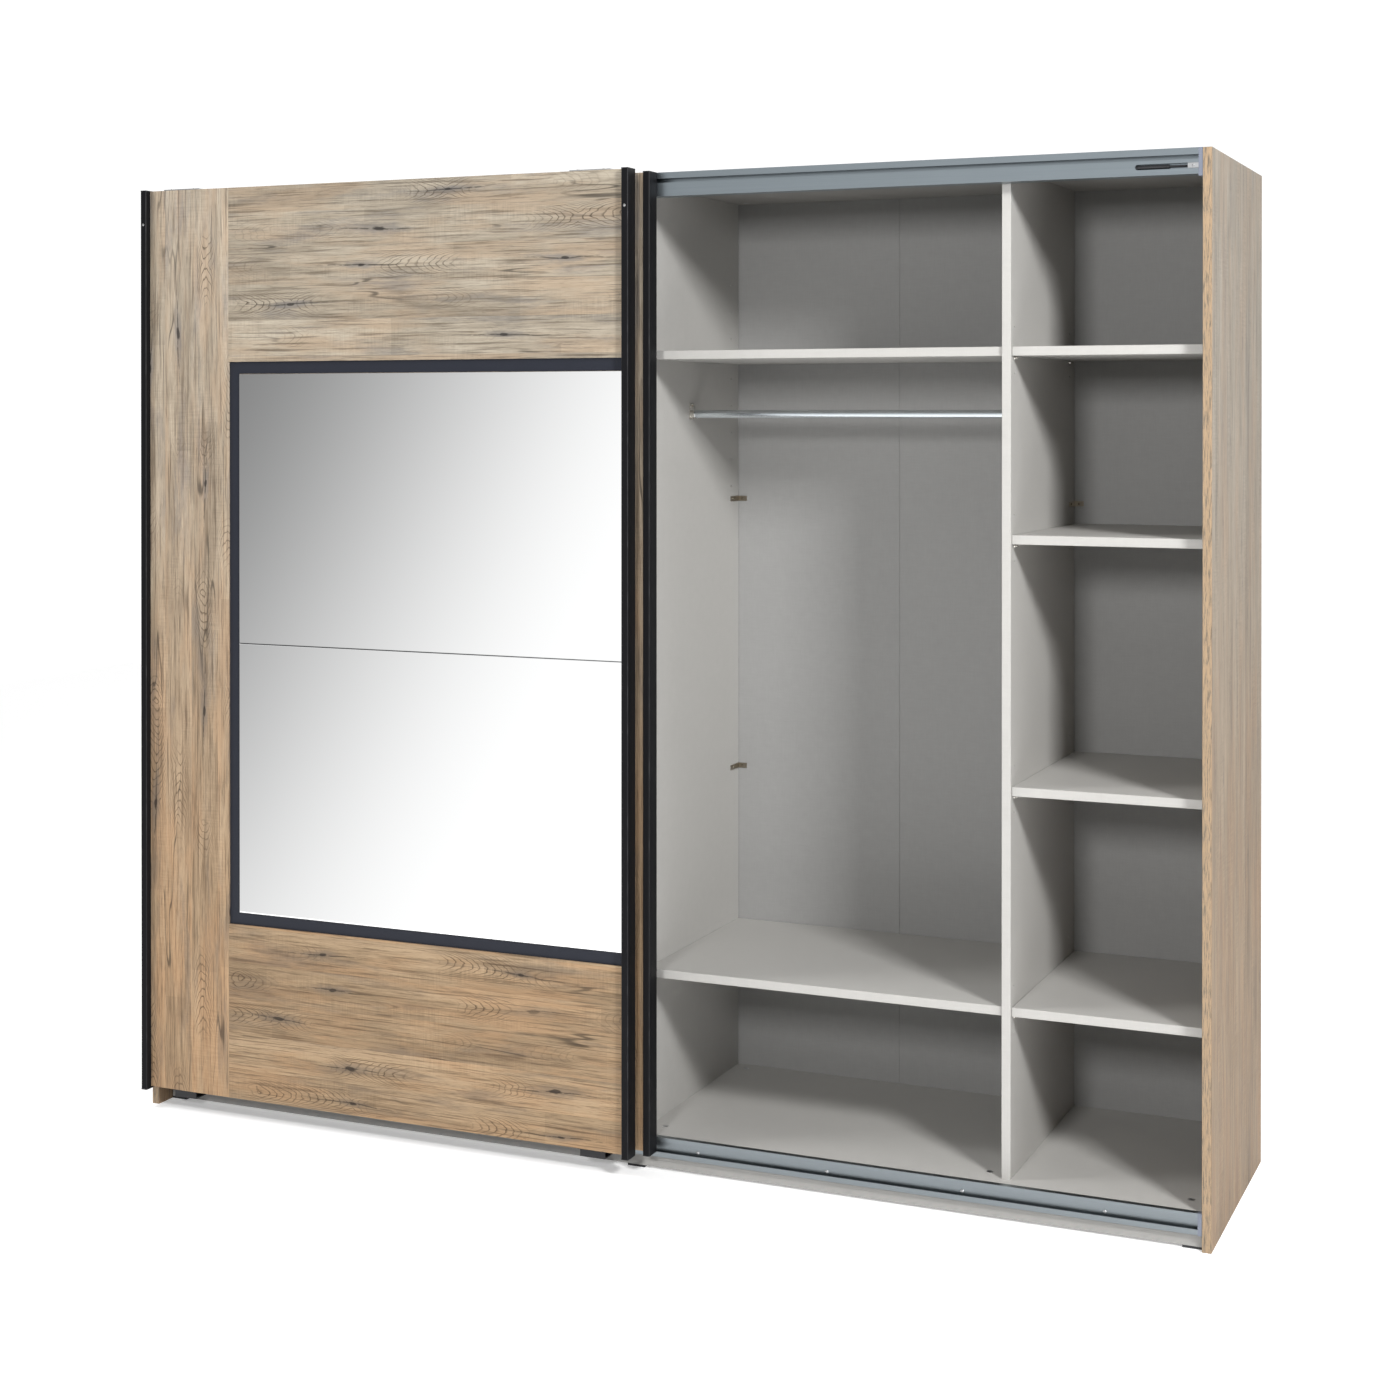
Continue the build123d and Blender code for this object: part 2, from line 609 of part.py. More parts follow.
# Inner door: plates lie on its back, their axles pass through the slot of the top rail.
inner_back = inner_door_y + trim_depth
inner_wheel_y = box_y + wheel_side_gap
inner_spans = hanger_spans(inner_door_x)
inner_sheet = door_gap - hanger_clear
plate_z0 = height - inner_hanger_drop
plate_z1 = axle_z + 2 * axle_radius
with BuildPart() as inner_hangers:
    for x0, x1 in inner_spans:
        slab(x0, x1, inner_back, inner_back + inner_sheet, plate_z0, plate_z1)
        rod_y((x0 + x1) / 2, inner_back, inner_back + inner_sheet, axle_z, axle_radius,
              mode=Mode.SUBTRACT)
        for screw_x in (x0 + hanger_lap, x1 - hanger_lap):
            rod_y(screw_x, inner_back, inner_back + inner_sheet, plate_z0 + hanger_lap / 2,
                  screw_head, mode=Mode.SUBTRACT)
finish(inner_hangers, "inner_hangers")

with BuildPart() as inner_axles:
    for x0, x1 in inner_spans:
        rod_y((x0 + x1) / 2, inner_back, inner_wheel_y + wheel_width, axle_z, axle_radius)
finish(inner_axles, "inner_axles")

for node, (x0, x1) in zip(("inner_left_wheel", "inner_right_wheel"), inner_spans):
    write_wheel(node, (x0 + x1) / 2, inner_wheel_y)

with BuildPart() as inner_screws:
    for x0, x1 in inner_spans:
        for screw_x in (x0 + hanger_lap, x1 - hanger_lap):
            rod_y(screw_x, inner_back, inner_back + inner_sheet, plate_z0 + hanger_lap / 2,
                  screw_head - pin_play)
finish(inner_screws, "inner_screws")

# Bottom guides: a nose on each block runs in the bottom rail.
with BuildPart() as inner_guides:
    for x0, x1 in inner_spans:
        block = ((x0 + x1 - guide_block) / 2, (x0 + x1 + guide_block) / 2)
        nose = (guide_bottom + guide_front_lip + guide_play, guide_top - guide_top_lip - guide_side_gap)
        riser = (inner_back + guide_clear, inner_back + door_gap - guide_clear)
        slab(*block, inner_back - base_board, riser[1], door_bottom - guide_plate, door_bottom)
        slab(*block, *riser, door_bottom - guide_plate, nose[1])
        slab(*block, riser[0], guide_back_y - guide_wall - guide_side_gap, *nose)
finish(inner_guides, "inner_guides")

arm_z = guide_bottom - guide_rib - guide_play
with BuildPart() as outer_guides:
    for x0, x1 in outer_spans:
        block = ((x0 + x1 - guide_block) / 2, (x0 + x1 + guide_block) / 2)
        outer_back = outer_door_y + trim_depth
        nose = (front_y + guide_rib_front + guide_wall + guide_play,
                guide_back_y - guide_wall - guide_play)
        slab(*block, outer_back - base_board, outer_back, door_bottom - guide_plate, door_bottom)
        slab(*block, outer_back - guide_plate, outer_back, arm_z - guide_plate, door_bottom)
        slab(*block, outer_back - guide_plate, nose[1], arm_z - guide_plate, arm_z)
        slab(*block, *nose, arm_z, guide_bottom - guide_play)
finish(outer_guides, "outer_guides")
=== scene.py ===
"""Looks of the sliding door wardrobe: finishes on the fixed frame, small fittings and the studio.
Everything is in metres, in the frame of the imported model."""
import math

import bmesh
import bpy
from bpy.props import FloatProperty, FloatVectorProperty, IntProperty, PointerProperty
from mathutils import Euler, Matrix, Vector


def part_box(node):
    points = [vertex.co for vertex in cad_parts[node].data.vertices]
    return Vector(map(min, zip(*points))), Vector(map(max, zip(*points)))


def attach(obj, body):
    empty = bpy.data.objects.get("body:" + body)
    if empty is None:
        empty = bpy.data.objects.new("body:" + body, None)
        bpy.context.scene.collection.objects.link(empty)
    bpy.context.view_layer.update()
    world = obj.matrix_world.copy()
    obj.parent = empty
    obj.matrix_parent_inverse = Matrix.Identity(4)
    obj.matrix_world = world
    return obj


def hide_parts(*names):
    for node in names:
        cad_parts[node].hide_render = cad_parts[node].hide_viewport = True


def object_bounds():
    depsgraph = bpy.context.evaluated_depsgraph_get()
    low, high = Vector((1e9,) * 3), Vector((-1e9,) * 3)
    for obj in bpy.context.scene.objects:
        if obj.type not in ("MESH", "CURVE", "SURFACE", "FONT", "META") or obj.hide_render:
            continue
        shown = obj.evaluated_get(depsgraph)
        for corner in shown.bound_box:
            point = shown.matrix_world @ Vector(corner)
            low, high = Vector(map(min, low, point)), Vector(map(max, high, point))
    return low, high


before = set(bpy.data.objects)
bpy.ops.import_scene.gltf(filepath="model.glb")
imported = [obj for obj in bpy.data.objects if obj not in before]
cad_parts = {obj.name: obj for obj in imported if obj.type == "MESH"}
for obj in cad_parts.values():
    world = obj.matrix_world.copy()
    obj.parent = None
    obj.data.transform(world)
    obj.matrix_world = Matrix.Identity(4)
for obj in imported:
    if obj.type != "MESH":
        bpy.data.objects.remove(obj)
cad_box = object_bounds()

bl_info = {
    "name": "Sliding Door Wardrobe",
    "version": (1, 0, 0),
    "blender": (4, 5, 0),
    "location": "3D View > Sidebar > Wardrobe",
    "description": "Finishes, fittings and studio of a sliding door wardrobe",
    "category": "Object",
}

DOORS = ("outer", "inner")
MM = 0.001
TURNED_SIDES = 48
SHARP_ANGLE = math.radians(32.0)
CLIP_SHEET = 1.6 * MM
HOLDER_SHEET = 3.0 * MM
PIN_STEM = 2.2 * MM
PIN_COLLAR = 3.0 * MM
WHEEL_BORE = 3.05 * MM
FORWARD = Vector((0.0, -1.0, 0.0))
DAMPER_GROOVES = (0.16, 0.80, 0.86, 0.92)  # as shares of the damper's length

# Noise layers of the oak: waves per metre along and across the grain, seed, detail and roughness.
OAK_LAYERS = {
    "jag": (50.0, 170.0, 2.0, 3.0, 0.5),
    "wobble": (15.0, 48.0, 5.0, 2.0, 0.5),
    "fibre": (13.0, 390.0, 3.0, 3.0, 0.62),
    "dash": (6.5, 150.0, 8.0, 4.0, 0.66),
    "grain": (4.2, 205.0, 12.0, 2.0, 0.5),
    "pores": (42.0, 620.0, 7.0, 1.0, 0.5),
    "warm": (2.3, 12.0, 9.0, 4.0, 0.66),
    "grey": (3.0, 21.0, 4.0, 6.0, 0.70),
}
# Where a layer starts to show and where it is full, then how strongly it is mixed in.
OAK_BANDS = {"dash": (0.51, 0.67), "grain": (0.57, 0.66), "pores": (0.58, 0.72),
             "warm": (0.44, 0.62), "grey": (0.49, 0.68)}
OAK_SHARES = {"warm": 0.54, "grey": 0.60, "dash": 0.56, "grain": 0.52, "pores": 0.28,
              "flame": 0.80, "halo": 0.62, "crack": 0.66, "tail": 0.74, "heart": 0.86}

# Studio: how far the floor reaches past the wardrobe, and each light's place, size and sheen.
FLOOR_SIDE, FLOOR_FRONT, FLOOR_BACK = 6.0, 1.8, 7.0
LIGHT_AIM = (0.4, 0.0, 1.1)
LIGHTS = {"left_key": ((-3.15, -2.05, 4.30), 1.0, False),
          "middle_key": ((0.65, -4.90, 2.35), 0.6, False),
          "right_key": ((3.95, -3.05, 3.55), 0.8, True)}


# ---- Sizes and colours that a user would change ----
def colour(name, description, default):
    """A colour property in scene-linear values."""
    return FloatVectorProperty(name=name, description=description, default=default, size=3,
                               subtype="COLOR", min=0.0, max=2.0)


def length(name, description, default):
    """A length property in metres."""
    return FloatProperty(name=name, description=description, default=default, min=0.0,
                         subtype="DISTANCE", unit="LENGTH", precision=5)


def share(name, description, default):
    """A share from 0.1 to 1."""
    return FloatProperty(name=name, description=description, default=default, min=0.1, max=1.0,
                         subtype="FACTOR")


def angle(name, description, degrees):
    """An angle property given in degrees."""
    return FloatProperty(name=name, description=description, default=math.radians(degrees),
                         subtype="ANGLE", unit="ROTATION")


def strength(name, description, default, unit="NONE"):
    """Strength of a part of the dome, or power of a light."""
    return FloatProperty(name=name, description=description, default=default, min=0.0, unit=unit)


class WoodFinish(bpy.types.PropertyGroup):
    """Weathered oak decor."""
    plank: length("Plank Width", "Width of one plank in the decor", 0.083)
    upright_plank: length("Upright Plank Width", "Width of one plank on upright boards", 0.074)
    knot_gap: length("Knot Gap", "Distance between knots along a plank", 0.52)
    knot_size: length("Knot Size", "Half the length of a knot's heart", 0.010)
    flame: length("Flame Spacing", "Distance between the curved growth lines at their tips", 0.020)
    strip: length("Strip", "Width of the strips that a plank is printed in", 0.041)
    strip_length: length("Strip Length", "Length of one strip", 0.43)
    shade: colour("Shade", "Darkest streaks between the knots", (0.172, 0.140, 0.105))
    body: colour("Body", "Main tone of the wood", (0.285, 0.244, 0.187))
    light: colour("Light", "Light streaks", (0.385, 0.338, 0.268))
    warm: colour("Warm", "Orange tan washes", (0.360, 0.268, 0.183))
    smudge: colour("Smudge", "Grey violet washes", (0.150, 0.142, 0.136))
    line: colour("Line", "Growth lines, dashes and pores", (0.078, 0.058, 0.041))
    knot: colour("Knot", "Heart of a knot and cracks", (0.024, 0.021, 0.019))
    edge: colour("Edge", "Front edge of the side panels", (0.330, 0.235, 0.148))
    upright_lift: colour("Upright Lift", "What the stiles' colours are multiplied by",
                         (1.16, 1.14, 1.14))
    # Partly painted shade: the side panels are multiplied darker than the doors, against the
    # strong light from the right; the greyer cast is their own tone.
    side_tone_and_shade: colour("Side Tone And Shade", "What the side panels' colours are multiplied by",
                      (0.77, 0.78, 0.81))
    # Painted shade: the oak is multiplied by this darker warm tint towards the floor.
    floor_shade_tint: colour("Floor Shade Tint", "What the wood is multiplied by near the floor",
                     (0.96, 0.785, 0.610))


class BoardFinish(bpy.types.PropertyGroup):
    """Melamine boards and back panels."""
    melamine: colour("Melamine", "Light grey melamine", (0.430, 0.421, 0.402))
    # Painted shade: the plinth is the same melamine, made darker for the shade under the rail and
    # doors.
    plinth: colour("Plinth", "Greyer melamine of the plinth", (0.300, 0.294, 0.282))
    back: colour("Back", "Grey hardboard of the back", (0.284, 0.282, 0.276))
    carrier: colour("Carrier", "Dark carrier board round the mirror", (0.019, 0.021, 0.029))
    thread: length("Thread", "Spacing of the linen threads", 0.0016)


class MetalFinish(bpy.types.PropertyGroup):
    """Rails, trims and fittings."""
    trim: colour("Trim", "Anthracite handle profiles", (0.008, 0.008, 0.009))
    rail: colour("Rail", "Anodised aluminium of the bottom rail", (0.235, 0.262, 0.280))
    # Painted sheen: a brighter copy of the bottom rail's colour, standing in for the light the top
    # rail reflects.
    top_rail: colour("Top Rail", "Anodised aluminium of the top rail", (0.330, 0.378, 0.410))
    steel: colour("Steel", "Zinc plated steel", (0.620, 0.630, 0.640))
    nickel: colour("Nickel", "Nickel plated fittings", (0.700, 0.675, 0.630))
    clip: colour("Clip", "Dull nickel of the back clips", (0.300, 0.265, 0.215))
    tube: colour("Tube", "Chromed steel of the clothes rods", (0.700, 0.750, 0.790))
    silver: colour("Silver", "Silvered glass", (0.940, 0.944, 0.944))


class PlasticFinish(bpy.types.PropertyGroup):
    """Caps, glides, dampers and wheels."""
    black: colour("Black", "Black plastic", (0.016, 0.016, 0.018))
    grey: colour("Grey", "Blue grey end caps of the rails", (0.150, 0.165, 0.205))
    nylon: colour("Nylon", "White nylon of the wheels", (0.740, 0.730, 0.690))


class FittingSizes(bpy.types.PropertyGroup):
    """Screws and shelf pins."""
    dome: share("Dome", "Height of a screw's dome as a share of its head", 0.6)
    recess: share("Recess", "Width of the cross recess as a share of the head", 0.22)
    sides: IntProperty(name="Sides", description="Sides of a screw head or pin", default=24,
                       min=12, max=48)
    clip_screw: length("Clip Screw", "Head radius of the screws in clips and rod holders", 0.0026)


class StudioSettings(bpy.types.PropertyGroup):
    """Camera, floor and light."""
    camera_place: FloatVectorProperty(name="Camera Place", description="Where the camera stands",
                                      default=(2.0559, -4.6445, 1.6477), subtype="TRANSLATION",
                                      unit="LENGTH")
    camera_turn: angle("Camera Turn", "Turn of the camera to the left", 23.372)
    camera_tilt: angle("Camera Tilt", "Tilt of the camera upwards", -0.238)
    lens: FloatProperty(name="Lens", description="Focal length on a 36 mm sensor", default=57.18,
                        min=10.0, unit="CAMERA")
    shift_y: FloatProperty(name="Shift Y", description="Vertical lens shift", default=-0.1981)
    dome: strength("Dome", "Strength of the white dome", 1.1)
    shaded_dome: strength("Shaded Dome", "Dome where the mirror sees grey", 0.23)
    front_dome: strength("Front Dome", "Sheen of the dome high above the front", 0.35)
    front_fill: strength("Front Fill", "Diffuse light from low in front", 0.60)
    floor_fill: strength("Floor Fill", "Diffuse light from all over the front", 0.015)
    left_key: strength("Left Key", "Power of the light at the left", 85.0, "POWER")
    middle_key: strength("Middle Key", "Power of the light in front", 115.0, "POWER")
    right_key: strength("Right Key", "Power of the light at the right", 250.0, "POWER")


# ---- Shader and geometry wiring ----
class Wire:
    """A value socket. Arithmetic on it adds Math nodes to its tree."""

    def __init__(self, bench, socket):
        self.bench = bench
        self.socket = socket

    def math(self, operation, *others):
        sockets = dict(enumerate((self, *others)))
        node = self.bench.add("ShaderNodeMath", {"operation": operation}, sockets)
        return Wire(self.bench, node.outputs[0])

    def __add__(self, other):
        return self.math("ADD", other)

    __radd__ = __add__

    def __sub__(self, other):
        return self.math("SUBTRACT", other)

    def __rsub__(self, other):
        return (self * -1.0).math("ADD", other)

    def __mul__(self, other):
        return self.math("MULTIPLY", other)

    __rmul__ = __mul__

    def __truediv__(self, other):
        return self.math("DIVIDE", other)

    def root(self):
        return self.math("SQRT")

    def size(self):
        return self.math("ABSOLUTE")

    def floor(self):
        return self.math("FLOOR")

    def fraction(self):
        return self.math("FRACT")

    def step(self, low, high):
        """0 below low and 1 above high, with a smooth rise between them."""
        node = self.bench.add("ShaderNodeMapRange", {"interpolation_type": "SMOOTHSTEP"},
                              {"Value": self, "From Min": low, "From Max": high})
        return Wire(self.bench, node.outputs[0])


class Bench:
    """A node tree that a finish or a fitting is wired in."""

    def __init__(self, tree):
        self.tree = tree

    def add(self, kind, settings=None, sockets=None):
        """A node of that type with its settings, then the values or links of its sockets."""
        node = self.tree.nodes.new(kind)
        for key, value in (settings or {}).items():
            if key == "stops":
                self.fill_ramp(node.color_ramp, value)
            else:
                setattr(node, key, value)
        for key, value in (sockets or {}).items():
            if isinstance(value, Wire):
                self.tree.links.new(value.socket, node.inputs[key])
            else:
                node.inputs[key].default_value = value
        return node

    @staticmethod
    def fill_ramp(ramp, stops):
        while len(ramp.elements) < len(stops):
            ramp.elements.new(1.0)
        for element, (place, tone) in zip(ramp.elements, stops):
            element.position = place
            element.color = (*tone, 1.0)

    def out(self, node, key=0):
        return Wire(self, node.outputs[key])


class Finish(Bench):
    """A material with one Principled shader."""

    def __init__(self, name, **constants):
        self.material = bpy.data.materials.new(name)
        self.material.use_nodes = True
        super().__init__(self.material.node_tree)
        self.tree.nodes.clear()
        self.shader = self.add("ShaderNodeBsdfPrincipled", None, constants)
        self.add("ShaderNodeOutputMaterial", None, {"Surface": self.out(self.shader)})
        place = self.add("ShaderNodeSeparateXYZ", None, {
            "Vector": self.out(self.add("ShaderNodeTexCoord"), "Object")})
        self.x, self.y, self.z = (self.out(place, axis) for axis in "XYZ")

    def point(self, x, y=0.0, z=0.0):
        return self.out(self.add("ShaderNodeCombineXYZ", None, {"X": x, "Y": y, "Z": z}))

    def noise(self, x, y=0.0, z=0.0, detail=2.0, roughness=0.5):
        """Noise over a point whose coordinates are already scaled."""
        node = self.add("ShaderNodeTexNoise", None, {
            "Vector": self.point(x, y, z), "Scale": 1.0, "Detail": detail, "Roughness": roughness})
        return self.out(node)

    def scatter(self, x, y, key=0):
        """A random value or colour for every whole x and y."""
        node = self.add("ShaderNodeTexWhiteNoise", {"noise_dimensions": "2D"},
                        {"Vector": self.point(x, y)})
        return self.out(node, key)

    def facing(self, axis):
        """How far the surface looks along an axis, from -1 to 1."""
        split = self.add("ShaderNodeSeparateXYZ", None, {
            "Vector": self.out(self.add("ShaderNodeNewGeometry"), "Normal")})
        return self.out(split, axis)

    def ramp(self, value, stops):
        return self.out(self.add("ShaderNodeValToRGB", {"stops": stops}, {"Fac": value}))

    def mix(self, share, first, second, blend="MIX"):
        """Colour between first and second."""
        first = first if isinstance(first, Wire) else (*first, 1.0)
        second = second if isinstance(second, Wire) else (*second, 1.0)
        node = self.add("ShaderNodeMix", {"data_type": "RGBA", "blend_type": blend},
                        {0: share, 6: first, 7: second})
        return self.out(node, 2)

    def tone(self, base, shade, amount):
        """Base colour made lighter and darker by a value round 0.5."""
        grey = self.point(*[1.0 + (shade - 0.5) * amount] * 3)
        return self.mix(1.0, base, grey, "MULTIPLY")

    def relief(self, height, strength, distance):
        bump = self.add("ShaderNodeBump", None, {
            "Height": height, "Strength": strength, "Distance": distance})
        self.feed("Normal", self.out(bump))

    def feed(self, key, wire):
        self.tree.links.new(wire.socket, self.shader.inputs[key])


# ---- Wood ----
def oak_finish(name, look, upright, fade=0.0, edge=None, lift=(1.0, 1.0, 1.0)):
    """Weathered oak: planks side by side, each with flames round its knots, washes and cracks.

    fade is how much calmer the figure is, and lift what its colours are multiplied by. edge
    colours what looks forward, as a sawn edge band.
    """
    oak = Finish(name, **{"Specular IOR Level": 0.30})
    plank = look.upright_plank if upright else look.plank
    along = oak.z if upright else oak.x
    across = (oak.x if upright else oak.z) + oak.y
    calm = 1.0 - fade

    count = across / plank + 60.4
    number = count.floor()
    draw = oak.out(oak.add("ShaderNodeTexWhiteNoise", {"noise_dimensions": "1D"}, {"W": number}))
    run = along + draw * 7.0
    sway = oak.noise(run * 2.3, across * 9.0, draw * 9.0, detail=2.0)
    field = {key: oak.noise(run * long, across * wide, seed, detail=detail, roughness=rough)
             for key, (long, wide, seed, detail, rough) in OAK_LAYERS.items()}
    band = {key: field[key].step(*ends) for key, ends in OAK_BANDS.items()}
    jag, wobble, fibre = (field[key] for key in ("jag", "wobble", "fibre"))

    # The heart line wanders along the plank, with one knot in every cell.
    heart_line = (oak.noise(run * 1.4, number * 3.1, detail=1.0) - 0.5) * plank * 0.7
    off = (count.fraction() - 0.5) * plank - heart_line + (sway - 0.5) * 0.012
    cell = run / look.knot_gap + (sway - 0.5) * 0.2
    reach = (cell.fraction() - 0.5) * look.knot_gap
    pick = oak.scatter(number, cell.floor(), "Color")
    pick = oak.add("ShaderNodeSeparateXYZ", None, {"Vector": pick})
    present = oak.out(pick, "X").step(0.28, 0.34)
    girth = oak.out(pick, "Y") * 0.8 + 0.6
    core_off = (off * off).root() / (girth * look.knot_size * 0.36)
    core_reach = reach.size() / (girth * look.knot_size)
    core = (core_off * core_off + core_reach * core_reach).root() + (jag - 0.5) * 1.5
    heart = (1.0 - core.step(0.75, 1.35)) * present
    halo_off = off.size() / (girth * 0.013)
    halo_reach = reach.size() / (girth * 0.070)
    halo = (halo_off * halo_off + halo_reach * halo_reach).root()
    halo = halo + (sway - 0.5) * 0.8 + (jag - 0.5)
    halo = (1.0 - halo.step(0.25, 1.15)) * present

    # Long thin cracks run out of a knot both ways.
    bend = oak.noise(run * 8.0, number * 1.7, detail=2.0) - 0.5
    tail = 1.0 - (off + bend * 0.016).size().step(0.0005, 0.0024)
    tail = tail * (1.0 - reach.size().step(0.03, 0.17)) * jag.step(0.36, 0.52) * present

    # Flames: curved growth lines whose tips point at the knot.
    phase = reach.size() / look.flame - off * off * 4400.0 + wobble * 2.2 + jag * 0.14
    ring = phase.fraction()
    line = ring.step(0.66, 0.92) * (1.0 - ring.step(0.92, 1.0))
    near = 1.0 - off.size().step(0.014, 0.044)
    shown = oak.noise(run * 2.6, number * 7.0, 3.0, detail=2.0).step(0.50, 0.60)
    flame = line * near * (shown * 0.95 + 0.05) * (0.15 + wobble * 1.7)

    # Streaks, printed strips, saw marks and cracks.
    streak = oak.noise(run * 2.2, across * 30.0, draw * 5.0, detail=6.0, roughness=0.72)
    patch = oak.noise(along * 3.4, across * 15.0, 1.0, detail=1.0).step(0.46, 0.62)
    saw = (oak.noise(along * 230.0, across * 20.0, 1.0, detail=1.0) - 0.5) * patch
    block = oak.scatter((across / look.strip).floor(), (run / look.strip_length).floor())
    crack_field = oak.noise(along * 1.9 + sway * 0.3, across * 20.0, 2.0, detail=2.0)
    crack = 1.0 - (crack_field - 0.5).size().step(0.003, 0.017)
    crack = crack * oak.noise(along * 3.1, across * 9.0, 8.0, detail=2.0).step(0.56, 0.64)

    level = streak * 0.80 + fibre * 0.32 + draw * 0.10 - 0.11
    wood = oak.ramp(level, ((0.28, look.shade), (0.45, look.body), (0.62, look.light),
                            (0.80, look.light)))
    for key, mask, least, tint in (
            ("warm", band["warm"], 1.0, look.warm), ("grey", band["grey"], 0.35, look.smudge),
            ("dash", band["dash"], 0.4, look.line), ("grain", band["grain"], 0.3, look.line),
            ("pores", band["pores"], 1.0, look.line), ("flame", flame, 0.0, look.line),
            ("halo", halo, 0.0, look.smudge), ("crack", crack, 0.0, look.knot),
            ("tail", tail, 0.0, look.knot), ("heart", heart, 0.0, look.knot)):
        amount = OAK_SHARES[key] * (least + (1.0 - least) * calm)
        wood = oak.mix(mask * amount, wood, tint)
    wood = oak.tone(wood, saw * 0.6 + block * 0.36 * calm + fibre * 0.5 + 0.07, 0.55)

    # Painted shade: the boards are greyer near the top, and a darker warm tint is multiplied in so
    # they are darker and warmer near the floor.
    floor_shade = 1.0 - oak.z.step(0.25, 2.0)
    wood = oak.mix(floor_shade, wood, oak.mix(1.0, wood, look.floor_shade_tint, "MULTIPLY"))
    # For the side panels this multiplier is partly painted shade; for the stiles it is their own
    # lighter tone.
    wood = oak.mix(1.0, wood, lift, "MULTIPLY")
    if edge is not None:
        front = (oak.facing("Y") * -1.0).step(0.6, 0.9)
        cut = oak.noise(oak.x * 420.0, oak.z * 26.0, 3.0, detail=4.0, roughness=0.75)
        sawn = oak.ramp(cut, ((0.30, look.line), (0.42, look.shade), (0.52, edge), (0.68, edge)))
        wood = oak.mix(front, wood, oak.tone(sawn, fibre, 0.5))
    oak.feed("Base Color", wood)
    oak.feed("Roughness", 0.56 + fibre * 0.10 - line * 0.04)
    depth = fibre * 0.5 - band["pores"] * 0.7 - (crack + tail) * 0.9 - flame * 0.3
    oak.relief(depth, 0.22, 0.0006)
    return oak.material


# ---- Boards and glass ----
def linen_finish(name, base, thread, weave=0.045, roughness=0.52, specular=0.38):
    """Melamine with a faint linen grain, the same on all three pairs of faces."""
    board = Finish(name, **{"Specular IOR Level": specular})
    fine = 1.0 / thread
    long = fine / 14.0
    threads = board.noise(board.x * fine, board.y * long, board.z * long, detail=1.0) \
        + board.noise(board.x * long, board.y * fine, board.z * long, detail=1.0) \
        + board.noise(board.x * long, board.y * long, board.z * fine, detail=1.0)
    clouds = board.noise(board.x * 3.0, board.y * 3.0, board.z * 3.0, detail=3.0)
    grain = threads / 3.0
    board.feed("Base Color", board.tone(board.tone(base, grain, weave * 4.0), clouds, weave))
    board.feed("Roughness", roughness + (grain - 0.5) * 0.25)
    board.relief(grain, 0.10, 0.0003)
    return board.material


def mirror_finish(name, look):
    """Silvered glass that is a little less clear where it was wiped."""
    pane = Finish(name, Metallic=1.0)
    wiped = pane.noise(pane.x * 4.0 + pane.z * 2.0, pane.z * 5.0, 1.0, detail=3.0)
    border = pane.noise(pane.x * 0.7, pane.z * 0.9, 3.0, detail=1.0)
    pane.feed("Base Color", pane.tone(look.silver, border, 0.03))
    pane.feed("Roughness", wiped.step(0.5, 0.9) * 0.03 + 0.006)
    return pane.material


# ---- Metals and plastics ----
def drawn_finish(name, base, roughness, streaks=0.22, grain=900.0):
    """Metal with fine lines along its length, the way it was drawn."""
    metal = Finish(name, Metallic=1.0)
    brush = metal.noise(metal.x * 3.0, metal.y * grain, metal.z * grain, detail=3.0, roughness=0.6)
    cloud = metal.noise(metal.x * 9.0, metal.y * 30.0, metal.z * 9.0, detail=3.0)
    metal.feed("Base Color", metal.tone(metal.tone(base, brush, streaks), cloud, 0.10))
    metal.feed("Roughness", roughness + (brush - 0.5) * 0.18 + (cloud - 0.5) * 0.08)
    metal.relief(brush, 0.08, 0.0002)
    return metal.material


def cast_finish(name, base, roughness, metallic=0.0, specular=0.45, pitch=1600.0):
    """Moulded plastic, plated or powder coated parts: a fine even grain with soft clouds."""
    part = Finish(name, Metallic=metallic, **{"Specular IOR Level": specular})
    grain = part.noise(part.x * pitch, part.y * pitch, part.z * pitch, detail=2.0)
    cloud = part.noise(part.x * 14.0, part.y * 14.0, part.z * 14.0, detail=3.0)
    part.feed("Base Color", part.tone(part.tone(base, grain, 0.30), cloud, 0.18))
    part.feed("Roughness", roughness + (grain - 0.5) * 0.12 + (cloud - 0.5) * 0.10)
    part.relief(grain, 0.12, 0.00015)
    return part.material


def trim_finish(name, base):
    """Satin anthracite profile: drawn lines under the colour and a painted highlight on the
    chamfered front corners.
    """
    trim = Finish(name, **{"Specular IOR Level": 0.07})
    grain = trim.noise(trim.x * 1500.0, trim.y * 1500.0, trim.z * 14.0, detail=2.0)
    sheen_patches = trim.noise(trim.x * 40.0, trim.y * 40.0, trim.z * 26.0, detail=3.0).step(0.45, 0.75)
    side = trim.facing("X").size()
    front = (trim.facing("Y") * -1.0).step(0.2, 0.4)
    corner = side.step(0.35, 0.6) * (1.0 - side.step(0.8, 0.95)) * front
    # Painted highlight: the chamfered front corners are mixed a little towards light grey, in
    # patches.
    painted_highlight = (0.014 + sheen_patches * 0.025) * corner
    base = trim.tone(base, grain, 0.35)
    trim.feed("Base Color", trim.mix(painted_highlight, base, (0.75, 0.76, 0.78)))
    trim.feed("Roughness", 0.42 + (grain - 0.5) * 0.12 - sheen_patches * 0.05)
    trim.relief(grain, 0.10, 0.0002)
    return trim.material


def cover(material, *nodes):
    """Give whole nodes of the frame a finish."""
    for node in nodes:
        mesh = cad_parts[node].data
        mesh.materials.clear()
        mesh.materials.append(material)


